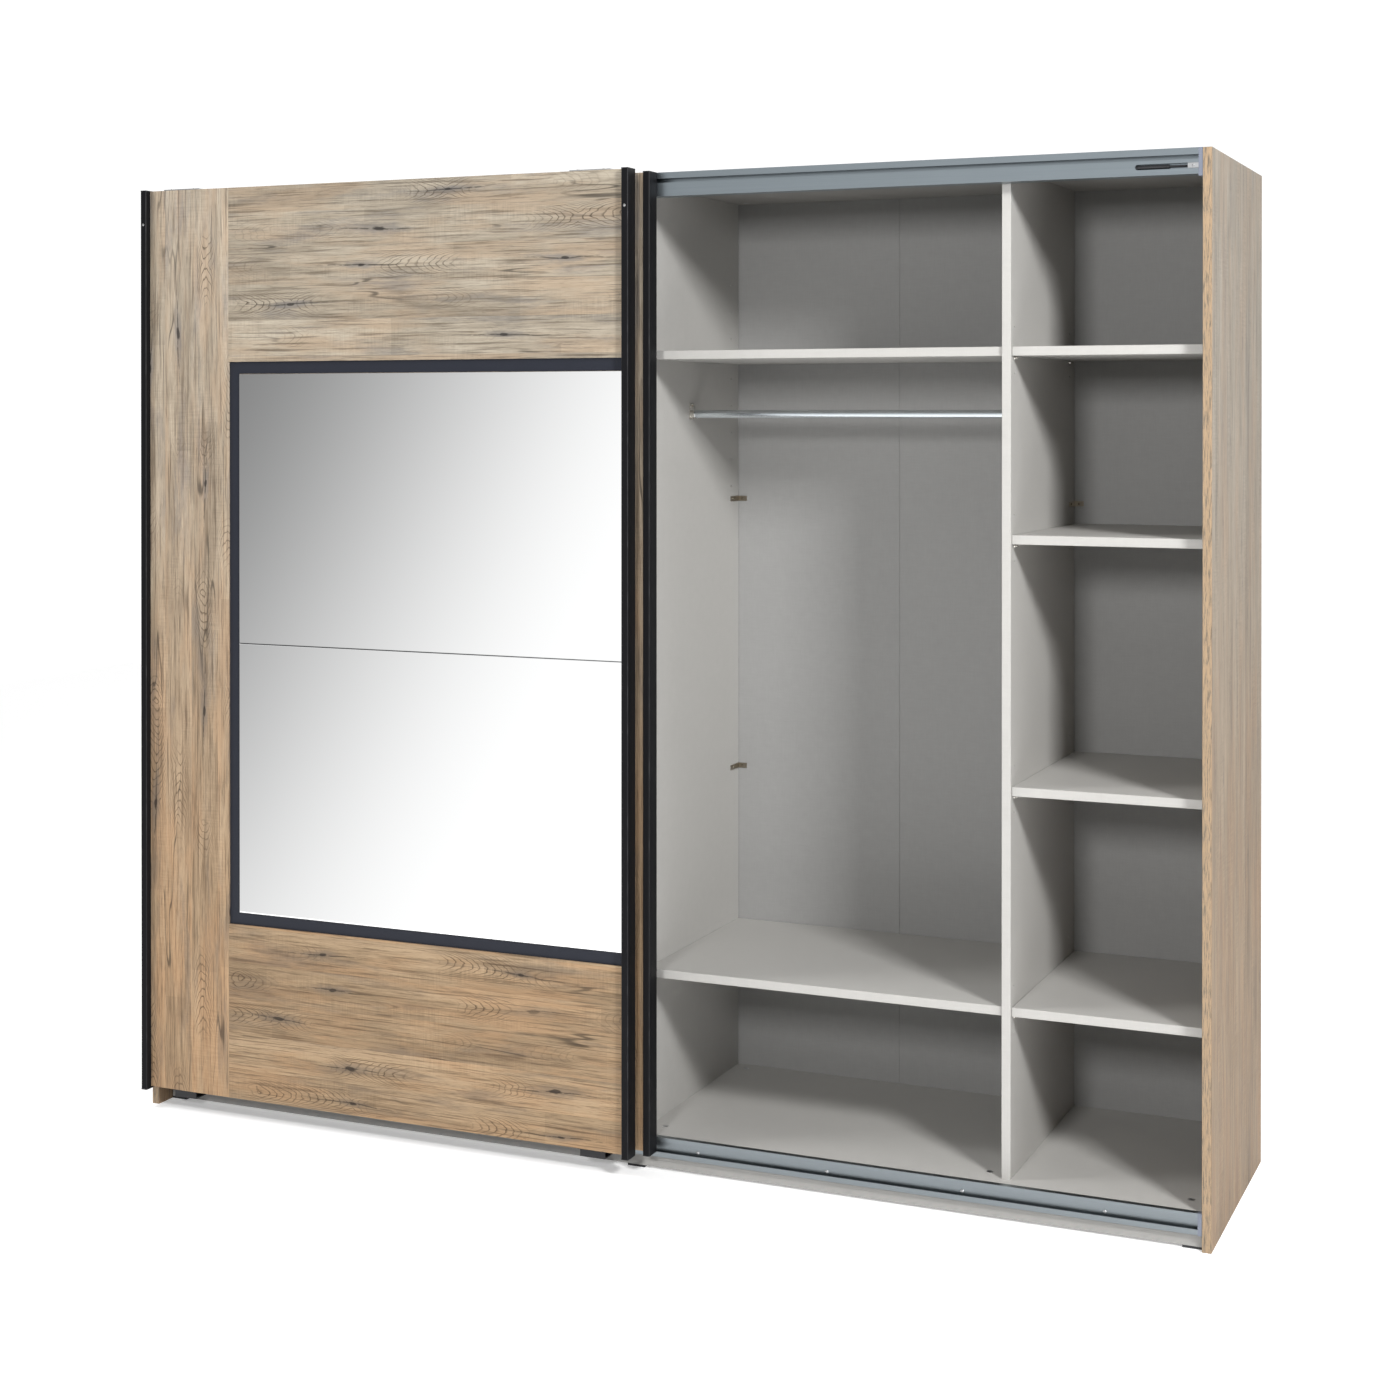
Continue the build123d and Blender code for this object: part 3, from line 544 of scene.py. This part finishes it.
# ---- Where the frame's solids are ----
def solids_of(node):
    """(lowest corner, highest corner) of every separate solid of a node, from left to right."""
    shell = bmesh.new()
    shell.from_mesh(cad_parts[node].data)
    bmesh.ops.remove_doubles(shell, verts=shell.verts, dist=1e-6)
    found = []
    waiting = set(shell.verts)
    while waiting:
        queue = [waiting.pop()]
        corners = []
        while queue:
            vert = queue.pop()
            corners.append(vert.co)
            for edge in vert.link_edges:
                other = edge.other_vert(vert)
                if other in waiting:
                    waiting.remove(other)
                    queue.append(other)
        low = Vector([min(c[i] for c in corners) for i in range(3)])
        high = Vector([max(c[i] for c in corners) for i in range(3)])
        found.append((low, high))
    shell.free()
    return sorted(found, key=lambda span: (round(span[0].x, 5), span[0].y, span[0].z))


def middle(span):
    return (span[0] + span[1]) / 2


# ---- Fittings made by geometry nodes ----
def new_tree(name, sizes, material):
    """A geometry tree with a points input, named sizes and a material, as bench and wires."""
    tree = bpy.data.node_groups.new(name, "GeometryNodeTree")
    bench = Bench(tree)
    tree.interface.new_socket(name="Geometry", in_out="OUTPUT", socket_type="NodeSocketGeometry")
    tree.interface.new_socket(name="Geometry", in_out="INPUT", socket_type="NodeSocketGeometry")
    for size in sizes:
        tree.interface.new_socket(name=size, in_out="INPUT", socket_type="NodeSocketFloat")
    entry = bench.add("NodeGroupInput")
    wires = {key: bench.out(entry, key) for key in ("Geometry", *sizes)}
    wires["Material"] = material
    return bench, wires


def spread(bench, wires, shape):
    """Stand the shape on every point, its Z axis along the point's facing. Closes the tree."""
    facing = bench.add("GeometryNodeInputNamedAttribute", {"data_type": "FLOAT_VECTOR"},
                       {"Name": "facing"})
    turn = bench.add("FunctionNodeAlignRotationToVector", {"axis": "Z"},
                     {"Vector": bench.out(facing)})
    placed = bench.add("GeometryNodeInstanceOnPoints", None, {
        "Points": wires["Geometry"], "Instance": shape, "Rotation": bench.out(turn)})
    real = bench.add("GeometryNodeRealizeInstances", None, {"Geometry": bench.out(placed)})
    done = bench.add("GeometryNodeSetMaterial", None, {
        "Geometry": bench.out(real), "Material": wires["Material"]})
    bench.add("NodeGroupOutput", None, {"Geometry": bench.out(done)})
    return bench.tree


def vector(bench, x=0.0, y=0.0, z=0.0):
    return bench.out(bench.add("ShaderNodeCombineXYZ", None, {"X": x, "Y": y, "Z": z}))


def screw_tree(name, fitting, material):
    """Pan head screws with a cross recess, their seat at the point."""
    bench, wires = new_tree(name, ("Radius", "Height", "Recess"), material)
    radius, height, recess = (wires[key] for key in ("Radius", "Height", "Recess"))
    blank = bench.add("GeometryNodeMeshCylinder", {"fill_type": "NGON"}, {
        "Vertices": fitting.sides, "Side Segments": 1, "Fill Segments": 4,
        "Radius": radius, "Depth": height})
    place = bench.add("ShaderNodeSeparateXYZ", None, {
        "Vector": bench.out(bench.add("GeometryNodeInputPosition"))})
    x, y, z = (bench.out(place, axis) for axis in "XYZ")
    out = ((x * x + y * y).root() / radius)
    lift = z.math("GREATER_THAN", 0.0) * (1.0 - out * out * out) * height * fitting.dome
    sink = z.math("GREATER_THAN", 0.0) * out.math("GREATER_THAN", 0.99) * height * -0.35
    domed = bench.add("GeometryNodeSetPosition", None, {
        "Geometry": bench.out(blank), "Offset": vector(bench, z=lift + sink)})
    seated = bench.add("GeometryNodeTransform", None, {
        "Geometry": bench.out(domed), "Translation": vector(bench, z=height * 0.5)})
    arms = bench.add("GeometryNodeJoinGeometry")
    for way in (0, 1):
        spans = (radius * 1.15, recess * radius)
        bar = bench.add("GeometryNodeMeshCube", None, {
            "Size": vector(bench, spans[way], spans[1 - way], height * 1.4)})
        bench.tree.links.new(bar.outputs[0], arms.inputs[0])
    cross = bench.add("GeometryNodeTransform", None, {
        "Geometry": bench.out(arms), "Translation": vector(bench, z=height * 1.5)})
    head = bench.add("GeometryNodeMeshBoolean", {"operation": "DIFFERENCE"}, {
        "Mesh 1": bench.out(seated), "Mesh 2": bench.out(cross)})
    return spread(bench, wires, bench.out(head))


def screw_sizes(radius, height, fitting):
    """The sizes that a screw tree asks for."""
    return {"Radius": radius, "Height": height, "Recess": fitting.recess}


def screw_seats(spans):
    """Points on the backs of solids that look forward."""
    return [(Vector((middle(span).x, span[1].y, middle(span).z)), FORWARD) for span in spans]


def pin_tree(name, fitting, material):
    """Shelf pins: a stem that goes both ways from a collar, the collar's seat at the point."""
    bench, wires = new_tree(name, ("Stem Radius", "Inside", "Outside", "Collar Radius", "Collar"),
                            material)
    inside, outside, collar = (wires[key] for key in ("Inside", "Outside", "Collar"))
    stem = bench.add("GeometryNodeMeshCylinder", None, {
        "Vertices": fitting.sides, "Radius": wires["Stem Radius"], "Depth": inside + outside})
    stem_place = bench.add("GeometryNodeTransform", None, {
        "Geometry": bench.out(stem), "Translation": vector(bench, z=(outside - inside) * 0.5)})
    tip = bench.add("GeometryNodeMeshCone", None, {
        "Vertices": fitting.sides, "Radius Top": wires["Stem Radius"] * 0.72,
        "Radius Bottom": wires["Stem Radius"] * 1.16, "Depth": outside * 0.18})
    tip_place = bench.add("GeometryNodeTransform", None, {
        "Geometry": bench.out(tip), "Translation": vector(bench, z=outside * 0.82)})
    ring = bench.add("GeometryNodeMeshCone", None, {
        "Vertices": fitting.sides, "Radius Top": wires["Collar Radius"] * 0.86,
        "Radius Bottom": wires["Collar Radius"], "Depth": collar})
    pin = bench.add("GeometryNodeMeshBoolean", {"operation": "UNION"})
    for part in (stem_place, tip_place, ring):
        bench.tree.links.new(part.outputs[0], pin.inputs["Mesh 2"])
    return spread(bench, wires, bench.out(pin))


def stand(name, tree, places, sizes, body, replaced=()):
    """Run a fitting's tree over (place, facing) points and bake it to one mesh on a body."""
    cloud = bpy.data.meshes.new(name + "_points")
    cloud.from_pydata([place for place, facing in places], [], [])
    facings = cloud.attributes.new("facing", "FLOAT_VECTOR", "POINT")
    for row, (place, facing) in zip(facings.data, places):
        row.vector = facing
    source = bpy.data.objects.new(name + "_points", cloud)
    bpy.context.scene.collection.objects.link(source)
    modifier = source.modifiers.new("Fittings", "NODES")
    modifier.node_group = tree
    for item in tree.interface.items_tree:
        if item.in_out == "INPUT" and item.name in sizes:
            modifier[item.identifier] = sizes[item.name]
    view = bpy.context.view_layer
    view.update()
    mesh = bpy.data.meshes.new_from_object(source.evaluated_get(view.depsgraph))
    source.modifiers.remove(modifier)
    bpy.data.objects.remove(source)
    if not mesh.polygons:
        raise RuntimeError(name + " came out empty")
    mesh.name = name
    piece = bpy.data.objects.new(name, mesh)
    return settle(piece, body, replaced)


def settle(piece, body, replaced=()):
    """Link a finished piece, let it ride on a body and take the place of nodes."""
    bpy.context.scene.collection.objects.link(piece)
    for face in piece.data.polygons:
        face.use_smooth = True
    piece.data.set_sharp_from_angle(angle=SHARP_ANGLE)
    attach(piece, body)
    if replaced:
        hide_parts(*replaced)
    return piece


# ---- Turned pieces ----
def turned(name, outline, centre, axis, material, closed=False):
    """Spin an outline of (radius, distance along the axis) points. A closed outline is a ring."""
    lathe = bmesh.new()
    along = Vector(axis)
    across = Vector((0.0, 0.0, 1.0))
    third = along.cross(across)
    turns = [2 * math.pi * step / TURNED_SIDES for step in range(TURNED_SIDES)]
    rings = []
    for radius, distance in outline:
        base = Vector(centre) + along * distance
        if radius == 0.0:
            rings.append([lathe.verts.new(base)])
            continue
        spokes = [across * math.cos(turn) + third * math.sin(turn) for turn in turns]
        rings.append([lathe.verts.new(base + radius * spoke) for spoke in spokes])
    pairs = list(zip(rings, rings[1:] + rings[:1])) if closed else list(zip(rings, rings[1:]))
    for one, two in pairs:
        for step in range(TURNED_SIDES):
            after = (step + 1) % TURNED_SIDES
            if len(one) == 1:
                lathe.faces.new((one[0], two[step], two[after]))
            elif len(two) == 1:
                lathe.faces.new((one[step], two[0], one[after]))
            else:
                lathe.faces.new((one[step], two[step], two[after], one[after]))
    bmesh.ops.recalc_face_normals(lathe, faces=lathe.faces)
    mesh = bpy.data.meshes.new(name)
    lathe.to_mesh(mesh)
    lathe.free()
    mesh.materials.append(material)
    return bpy.data.objects.new(name, mesh)


# ---- Operators: finishes of the frame ----
class WARDROBE_OT_finish_oak(bpy.types.Operator):
    """Oak decor on the door boards and the two side panels"""
    bl_idname = "wardrobe.finish_oak"
    bl_label = "Finish Oak"

    def execute(self, context):
        look = context.scene.wardrobe_wood
        lying = oak_finish("oak_lying", look, upright=False)
        upright = oak_finish("oak_upright", look, upright=True, lift=look.upright_lift)
        # The side panels' multiplier darkens them as painted shade and gives them their greyer
        # tone.
        calm = oak_finish("oak_side", look, upright=True, fade=0.72, edge=look.edge,
                          lift=look.side_tone_and_shade)
        for door in DOORS:
            cover(lying, door + "_top_board", door + "_bottom_board")
            cover(upright, door + "_stile_board")
        cover(calm, "left_side_panel", "right_side_panel")
        return {"FINISHED"}


class WARDROBE_OT_finish_boards(bpy.types.Operator):
    """Melamine on the inside, hardboard on the back and dark carrier boards"""
    bl_idname = "wardrobe.finish_boards"
    bl_label = "Finish Boards"

    def execute(self, context):
        look = context.scene.wardrobe_boards
        cover(linen_finish("melamine", look.melamine, look.thread), "middle_partition",
              "left_divider", "right_divider", "top_panel", "bottom_panel", "right_hat_shelf",
              "right_base_shelf", "left_fixed_shelves", "left_loose_shelves",
              "right_loose_shelves")
        # Painted shade: the plinth's melamine is darker than the rest for the shade under the
        # overhang.
        cover(linen_finish("plinth_melamine", look.plinth, look.thread), "plinth_front",
              "plinth_frame")
        cover(linen_finish("hardboard", look.back, look.thread, weave=0.06, roughness=0.6),
              "back_panels", "back_joint_strips")
        carrier = linen_finish("carrier_board", look.carrier, look.thread, weave=0.05,
                               roughness=0.5, specular=0.22)
        cover(carrier, *[door + "_base_board" for door in DOORS])
        return {"FINISHED"}


class WARDROBE_OT_finish_mirrors(bpy.types.Operator):
    """Silvered glass of the four panes"""
    bl_idname = "wardrobe.finish_mirrors"
    bl_label = "Finish Mirrors"

    def execute(self, context):
        glass = mirror_finish("silvered_glass", context.scene.wardrobe_metals)
        cover(glass, *[f"{door}_{half}_mirror" for door in DOORS for half in ("upper", "lower")])
        return {"FINISHED"}


class WARDROBE_OT_finish_metals(bpy.types.Operator):
    """Rails, handle profiles, hangers and plated fittings"""
    bl_idname = "wardrobe.finish_metals"
    bl_label = "Finish Metals"

    def execute(self, context):
        look = context.scene.wardrobe_metals
        cover(drawn_finish("anodised_rail", look.rail, 0.36), "bottom_rail")
        # Painted sheen: the top rail gets a brighter copy of the rail finish.
        cover(drawn_finish("bright_anodised_rail", look.top_rail, 0.34), "top_rail")
        cover(trim_finish("anthracite_trim", look.trim),
              *[f"{door}_{side}_trim" for door in DOORS for side in ("left", "right")])
        cover(cast_finish("zinc_plate", look.steel, 0.34, metallic=1.0, pitch=500.0),
              "cam_fittings", "damper_blocks",
              *[f"{door}_{part}" for door in DOORS for part in ("hangers", "axles")])
        cover(drawn_finish("chromed_tube", look.tube, 0.24, streaks=0.10, grain=500.0),
              "clothes_rods")
        cover(cast_finish("nickel_plate", look.nickel, 0.26, metallic=1.0, pitch=700.0),
              "rod_supports", *[door + "_screws" for door in DOORS])
        cover(cast_finish("dull_nickel_plate", look.clip, 0.34, metallic=1.0, pitch=700.0),
              "back_clips")
        return {"FINISHED"}


class WARDROBE_OT_finish_plastics(bpy.types.Operator):
    """Caps, glides, guides and damper rods"""
    bl_idname = "wardrobe.finish_plastics"
    bl_label = "Finish Plastics"

    def execute(self, context):
        look = context.scene.wardrobe_plastics
        cover(cast_finish("black_plastic", look.black, 0.48), "floor_glides", "damper_rods",
              *[f"{door}_{part}" for door in DOORS for part in ("trim_caps", "guides")])
        cover(cast_finish("grey_plastic", look.grey, 0.42), "rail_end_caps")
        return {"FINISHED"}


# ---- Operators: small pieces ----
class WARDROBE_OT_rail_screws(bpy.types.Operator):
    """Screws of the bottom rail and the two damper blocks"""
    bl_idname = "wardrobe.rail_screws"
    bl_label = "Rail Screws"

    def execute(self, context):
        fitting = context.scene.wardrobe_fittings
        steel = cast_finish("screw_steel", context.scene.wardrobe_metals.steel, 0.28, metallic=1.0,
                            pitch=900.0)
        tree = screw_tree("Rail Screws", fitting, steel)
        spans = solids_of("rail_screws")
        radius = (spans[0][1].z - spans[0][0].z) / 2
        height = spans[0][1].y - spans[0][0].y
        stand("rail_screw_heads", tree, screw_seats(spans),
              screw_sizes(radius, height, fitting), "carcass", ("rail_screws",))
        places = [(Vector((middle(span).x, span[0].y + height, middle(span).z)), FORWARD)
                  for span in solids_of("damper_blocks")]
        stand("damper_screw_heads", tree, places,
              screw_sizes(radius * 0.5, height, fitting), "carcass")
        return {"FINISHED"}


class WARDROBE_OT_door_screws(bpy.types.Operator):
    """Screws in the front of the outer door's handle profiles"""
    bl_idname = "wardrobe.door_screws"
    bl_label = "Door Screws"

    def execute(self, context):
        fitting = context.scene.wardrobe_fittings
        metals = context.scene.wardrobe_metals
        steel = cast_finish("trim_screw_steel", metals.steel, 0.25, metallic=1.0, pitch=900.0)
        tree = screw_tree("Door Screws", fitting, steel)
        spans = [span for span in solids_of("outer_screws") if span[1].y - span[0].y < MM]
        radius = (spans[0][1].z - spans[0][0].z) / 2
        height = spans[0][1].y - spans[0][0].y
        stand("outer_trim_screw_heads", tree, screw_seats(spans),
              screw_sizes(radius * 1.02, height, fitting), "outer_door")
        return {"FINISHED"}


class WARDROBE_OT_clip_screws(bpy.types.Operator):
    """Small screws in the back clips and the clothes rod holders"""
    bl_idname = "wardrobe.clip_screws"
    bl_label = "Clip Screws"

    def execute(self, context):
        fitting = context.scene.wardrobe_fittings
        metals = context.scene.wardrobe_metals
        nickel = cast_finish("screw_nickel", metals.clip, 0.26, metallic=1.0, pitch=900.0)
        tree = screw_tree("Clip Screws", fitting, nickel)
        walls = sum((solids_of(node) for node in ("middle_partition", "left_divider",
                                                  "right_divider", "left_side_panel",
                                                  "right_side_panel")), [])
        faces = [face for low, high in walls for face in ((low.x, -1.0), (high.x, 1.0))]
        radius = fitting.clip_screw
        places = []
        for node, rise in (("back_clips", 0.5), ("rod_supports", 0.84)):
            for low, high in solids_of(node):
                centre = (low + high) / 2
                wall, way = min(faces, key=lambda face: min(abs(face[0] - low.x),
                                                            abs(face[0] - high.x)))
                sheet = CLIP_SHEET if node == "back_clips" else HOLDER_SHEET
                reach = low.z + (high.z - low.z) * rise
                seat = 0.75 * low.y + 0.25 * high.y if node == "back_clips" else centre.y
                places.append((Vector((wall + way * sheet, seat, reach)), Vector((way, 0.0, 0.0))))
                if node == "back_clips":
                    places.append((Vector((centre.x, high.y - sheet, reach)), FORWARD))
        stand("clip_screw_heads", tree, places, screw_sizes(radius, radius * 0.5, fitting),
              "carcass")
        return {"FINISHED"}


class WARDROBE_OT_shelf_pins(bpy.types.Operator):
    """Collared pins that carry the loose shelves"""
    bl_idname = "wardrobe.shelf_pins"
    bl_label = "Shelf Pins"

    def execute(self, context):
        fitting = context.scene.wardrobe_fittings
        metals = context.scene.wardrobe_metals
        nickel = cast_finish("pin_nickel", metals.nickel, 0.20, metallic=1.0, pitch=900.0)
        tree = pin_tree("Shelf Pins", fitting, nickel)
        walls = [solids_of(node)[0] for node in ("left_side_panel", "left_divider",
                                                 "right_divider", "right_side_panel")]
        faces = ((walls[0][1].x, 1.0), (walls[1][0].x, -1.0),
                 (walls[2][1].x, 1.0), (walls[3][0].x, -1.0))
        places = []
        for low, high in solids_of("shelf_pins"):
            seat, way = min(faces, key=lambda face: abs(face[0] - (low.x + high.x) / 2))
            places.append((Vector((seat, (low.y + high.y) / 2, (low.z + high.z) / 2)),
                           Vector((way, 0.0, 0.0))))
        low, high = solids_of("shelf_pins")[0]
        seat, way = faces[0]
        stand("shelf_pin_set", tree, places,
              {"Stem Radius": PIN_STEM, "Inside": seat - low.x, "Outside": high.x - seat,
               "Collar Radius": (high.z - low.z) / 2, "Collar": PIN_COLLAR},
              "carcass", ("shelf_pins",))
        return {"FINISHED"}


class WARDROBE_OT_dampers(bpy.types.Operator):
    """Turned damper cylinders in the ends of the top rail"""
    bl_idname = "wardrobe.dampers"
    bl_label = "Dampers"

    def execute(self, context):
        look = context.scene.wardrobe_plastics
        black = cast_finish("damper_black", look.black, 0.30, specular=0.6)
        for side, way in (("left", -1.0), ("right", 1.0)):
            node = side + "_damper_cylinder"
            low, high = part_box(node)
            radius = (high.z - low.z) / 2
            reach = high.x - low.x
            start = middle((low, high))
            start.x = low.x if way > 0 else high.x
            groove, nose, bore = 0.88 * radius, 0.07 * reach, 0.54 * radius
            outline = [(0.0, 0.0), (0.62 * radius, 0.0), (0.86 * radius, 0.25 * nose),
                       (0.86 * radius, 0.8 * nose), (radius, nose)]
            for groove_share in DAMPER_GROOVES:
                edge = groove_share * reach
                outline += [(radius, edge), (groove, edge + 0.4 * MM), (groove, edge + 1.0 * MM),
                            (radius, edge + 1.4 * MM)]
            outline += [(radius, reach - 0.6 * MM), (radius - 0.6 * MM, reach), (bore, reach),
                        (bore, nose), (0.0, nose)]
            piece = turned(side + "_damper_body", outline, start, (way, 0.0, 0.0), black)
            settle(piece, node, (node,))
        return {"FINISHED"}


class WARDROBE_OT_wheels(bpy.types.Operator):
    """Nylon wheels with a tread, a web and a hub"""
    bl_idname = "wardrobe.wheels"
    bl_label = "Wheels"

    def execute(self, context):
        look = context.scene.wardrobe_plastics
        nylon = cast_finish("white_nylon", look.nylon, 0.42)
        for door in DOORS:
            for side in ("left", "right"):
                node = f"{door}_{side}_wheel"
                low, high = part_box(node)
                rim = (high.z - low.z) / 2
                wide = high.y - low.y
                centre = middle((low, high))
                centre.y = low.y
                bore, hub, web = WHEEL_BORE, 0.42 * rim, 0.80 * rim
                ease = 0.10 * rim
                outline = [(bore, 0.0), (hub, 0.0), (hub + 0.5 * MM, 0.2 * wide),
                           (web, 0.2 * wide), (web + 0.4 * MM, 0.0), (rim - ease, 0.0),
                           (rim, ease), (rim, wide - ease), (rim - ease, wide),
                           (web + 0.4 * MM, wide), (web, 0.8 * wide), (hub + 0.5 * MM, 0.8 * wide),
                           (hub, wide), (bore, wide)]
                piece = turned(f"{door}_{side}_roller", outline, centre, (0.0, 1.0, 0.0), nylon,
                               closed=True)
                settle(piece, node, (node,))
        return {"FINISHED"}


# ---- Operator: studio ----
def studio_floor(context):
    """A pale floor that runs far back and ends in front of the mirror's view of it."""
    low, high = cad_box
    plaster = Finish("pale_floor", Roughness=0.8, **{"Emission Color": (1.0, 1.0, 1.0, 1.0),
                                                       "Emission Strength": 0.25})
    cloud = plaster.noise(plaster.x * 2.0, plaster.y * 2.0, detail=3.0)
    grain = plaster.noise(plaster.x * 300.0, plaster.y * 300.0, detail=2.0)
    plaster.feed("Base Color", plaster.tone((0.94, 0.94, 0.94), cloud * 0.6 + grain * 0.4, 0.02))
    x0, x1 = low[0] - FLOOR_SIDE, high[0] + FLOOR_SIDE
    y0, y1 = low[1] - FLOOR_FRONT, high[1] + FLOOR_BACK
    mesh = bpy.data.meshes.new("studio_floor")
    corners = [(x0, y0, 0.0), (x1, y0, 0.0), (x1, y1, 0.0), (x0, y1, 0.0)]
    mesh.from_pydata(corners, [], [(0, 1, 2, 3)])
    mesh.materials.append(plaster.material)
    floor = bpy.data.objects.new("studio_floor", mesh)
    context.scene.collection.objects.link(floor)


def studio_dome(context, studio):
    """White dome. Gloss and mirrors see a soft grey side of it to the front left."""
    world = bpy.data.worlds.new("studio_dome")
    context.scene.world = world
    world.use_nodes = True
    dome = Bench(world.node_tree)
    dome.tree.nodes.clear()
    split = dome.add("ShaderNodeSeparateXYZ", None, {
        "Vector": dome.out(dome.add("ShaderNodeTexCoord"), "Generated")})
    x, y, z = (dome.out(split, axis) for axis in "XYZ")
    rise = ((x + 0.574) * 5.0 - (z - 0.02) * 2.1).step(-0.12, 1.0)
    behind = y.step(-0.45, -0.05)
    high = z.step(0.03, 0.35)
    low_front = rise * (studio.dome - studio.shaded_dome) + studio.shaded_dome
    sheen = low_front * (1.0 - high) + studio.front_dome * high
    rays = dome.add("ShaderNodeLightPath")
    seen = dome.out(rays, "Is Camera Ray")
    glossy = dome.out(rays, "Is Glossy Ray")
    fill = (1.0 - z.step(-0.10, 0.15)) * studio.front_fill + studio.floor_fill
    front = sheen * glossy + fill * (1.0 - glossy)
    lit = front * (1.0 - behind) + studio.dome * behind
    shine = lit * (1.0 - seen) + studio.dome * seen
    sky = dome.add("ShaderNodeBackground", None, {
        "Color": (1.0, 1.0, 1.0, 1.0), "Strength": shine})
    dome.add("ShaderNodeOutputWorld", None, {"Surface": dome.out(sky)})


def area_light(context, name, place, size, power, sheen):
    """A square soft light. Only a light with a sheen shows in glossy surfaces."""
    lamp = bpy.data.lights.new(name, "AREA")
    lamp.size = size
    lamp.energy = power
    light = bpy.data.objects.new(name, lamp)
    light.location = place
    way = Vector(LIGHT_AIM) - Vector(place)
    light.rotation_euler = way.to_track_quat("-Z", "Y").to_euler()
    light.visible_glossy = sheen
    context.scene.collection.objects.link(light)


def studio_camera(context, studio):
    """Nearly level camera to the right of the wardrobe."""
    lens = bpy.data.cameras.new("studio_camera")
    lens.lens = studio.lens
    lens.sensor_width = 36.0
    lens.shift_y = studio.shift_y
    camera = bpy.data.objects.new("studio_camera", lens)
    camera.location = studio.camera_place
    level = math.radians(90.0)
    camera.rotation_euler = Euler((level + studio.camera_tilt, 0.0, studio.camera_turn))
    context.scene.collection.objects.link(camera)
    context.scene.camera = camera


class WARDROBE_OT_stage(bpy.types.Operator):
    """Floor, dome, lights and camera"""
    bl_idname = "wardrobe.stage"
    bl_label = "Stage"

    def execute(self, context):
        studio = context.scene.wardrobe_studio
        studio_floor(context)
        studio_dome(context, studio)
        for key, (place, size, sheen) in LIGHTS.items():
            area_light(context, key + "_light", place, size, getattr(studio, key), sheen)
        studio_camera(context, studio)
        context.scene.view_settings.view_transform = "Standard"
        return {"FINISHED"}


# ---- Panel and registration ----
OPERATORS = (WARDROBE_OT_finish_oak, WARDROBE_OT_finish_boards, WARDROBE_OT_finish_mirrors,
             WARDROBE_OT_finish_metals, WARDROBE_OT_finish_plastics, WARDROBE_OT_rail_screws,
             WARDROBE_OT_door_screws, WARDROBE_OT_clip_screws, WARDROBE_OT_shelf_pins,
             WARDROBE_OT_dampers, WARDROBE_OT_wheels, WARDROBE_OT_stage)
SETTINGS = {"wardrobe_wood": WoodFinish, "wardrobe_boards": BoardFinish,
            "wardrobe_metals": MetalFinish, "wardrobe_plastics": PlasticFinish,
            "wardrobe_fittings": FittingSizes, "wardrobe_studio": StudioSettings}


class WARDROBE_PT_panel(bpy.types.Panel):
    """Lists the wardrobe's steps"""
    bl_idname = "WARDROBE_PT_panel"
    bl_label = "Sliding Door Wardrobe"
    bl_space_type = "VIEW_3D"
    bl_region_type = "UI"
    bl_category = "Wardrobe"

    def draw(self, context):
        for operator in OPERATORS:
            self.layout.operator(operator.bl_idname)
        for key in SETTINGS:
            group = getattr(context.scene, key)
            box = self.layout.box()
            for prop in group.bl_rna.properties:
                if not prop.is_readonly and prop.identifier != "name":
                    box.prop(group, prop.identifier)


def register():
    for group in SETTINGS.values():
        bpy.utils.register_class(group)
    for key, group in SETTINGS.items():
        setattr(bpy.types.Scene, key, PointerProperty(type=group))
    for operator in OPERATORS:
        bpy.utils.register_class(operator)
    bpy.utils.register_class(WARDROBE_PT_panel)


def unregister():
    bpy.utils.unregister_class(WARDROBE_PT_panel)
    for operator in reversed(OPERATORS):
        bpy.utils.unregister_class(operator)
    for key in SETTINGS:
        delattr(bpy.types.Scene, key)
    for group in SETTINGS.values():
        bpy.utils.unregister_class(group)


def main():
    """Run every step in order."""
    register()
    bpy.ops.wardrobe.finish_oak()
    bpy.ops.wardrobe.finish_boards()
    bpy.ops.wardrobe.finish_mirrors()
    bpy.ops.wardrobe.finish_metals()
    bpy.ops.wardrobe.finish_plastics()
    bpy.ops.wardrobe.rail_screws()
    bpy.ops.wardrobe.door_screws()
    bpy.ops.wardrobe.clip_screws()
    bpy.ops.wardrobe.shelf_pins()
    bpy.ops.wardrobe.dampers()
    bpy.ops.wardrobe.wheels()
    bpy.ops.wardrobe.stage()


if __name__ == "__main__":
    main()
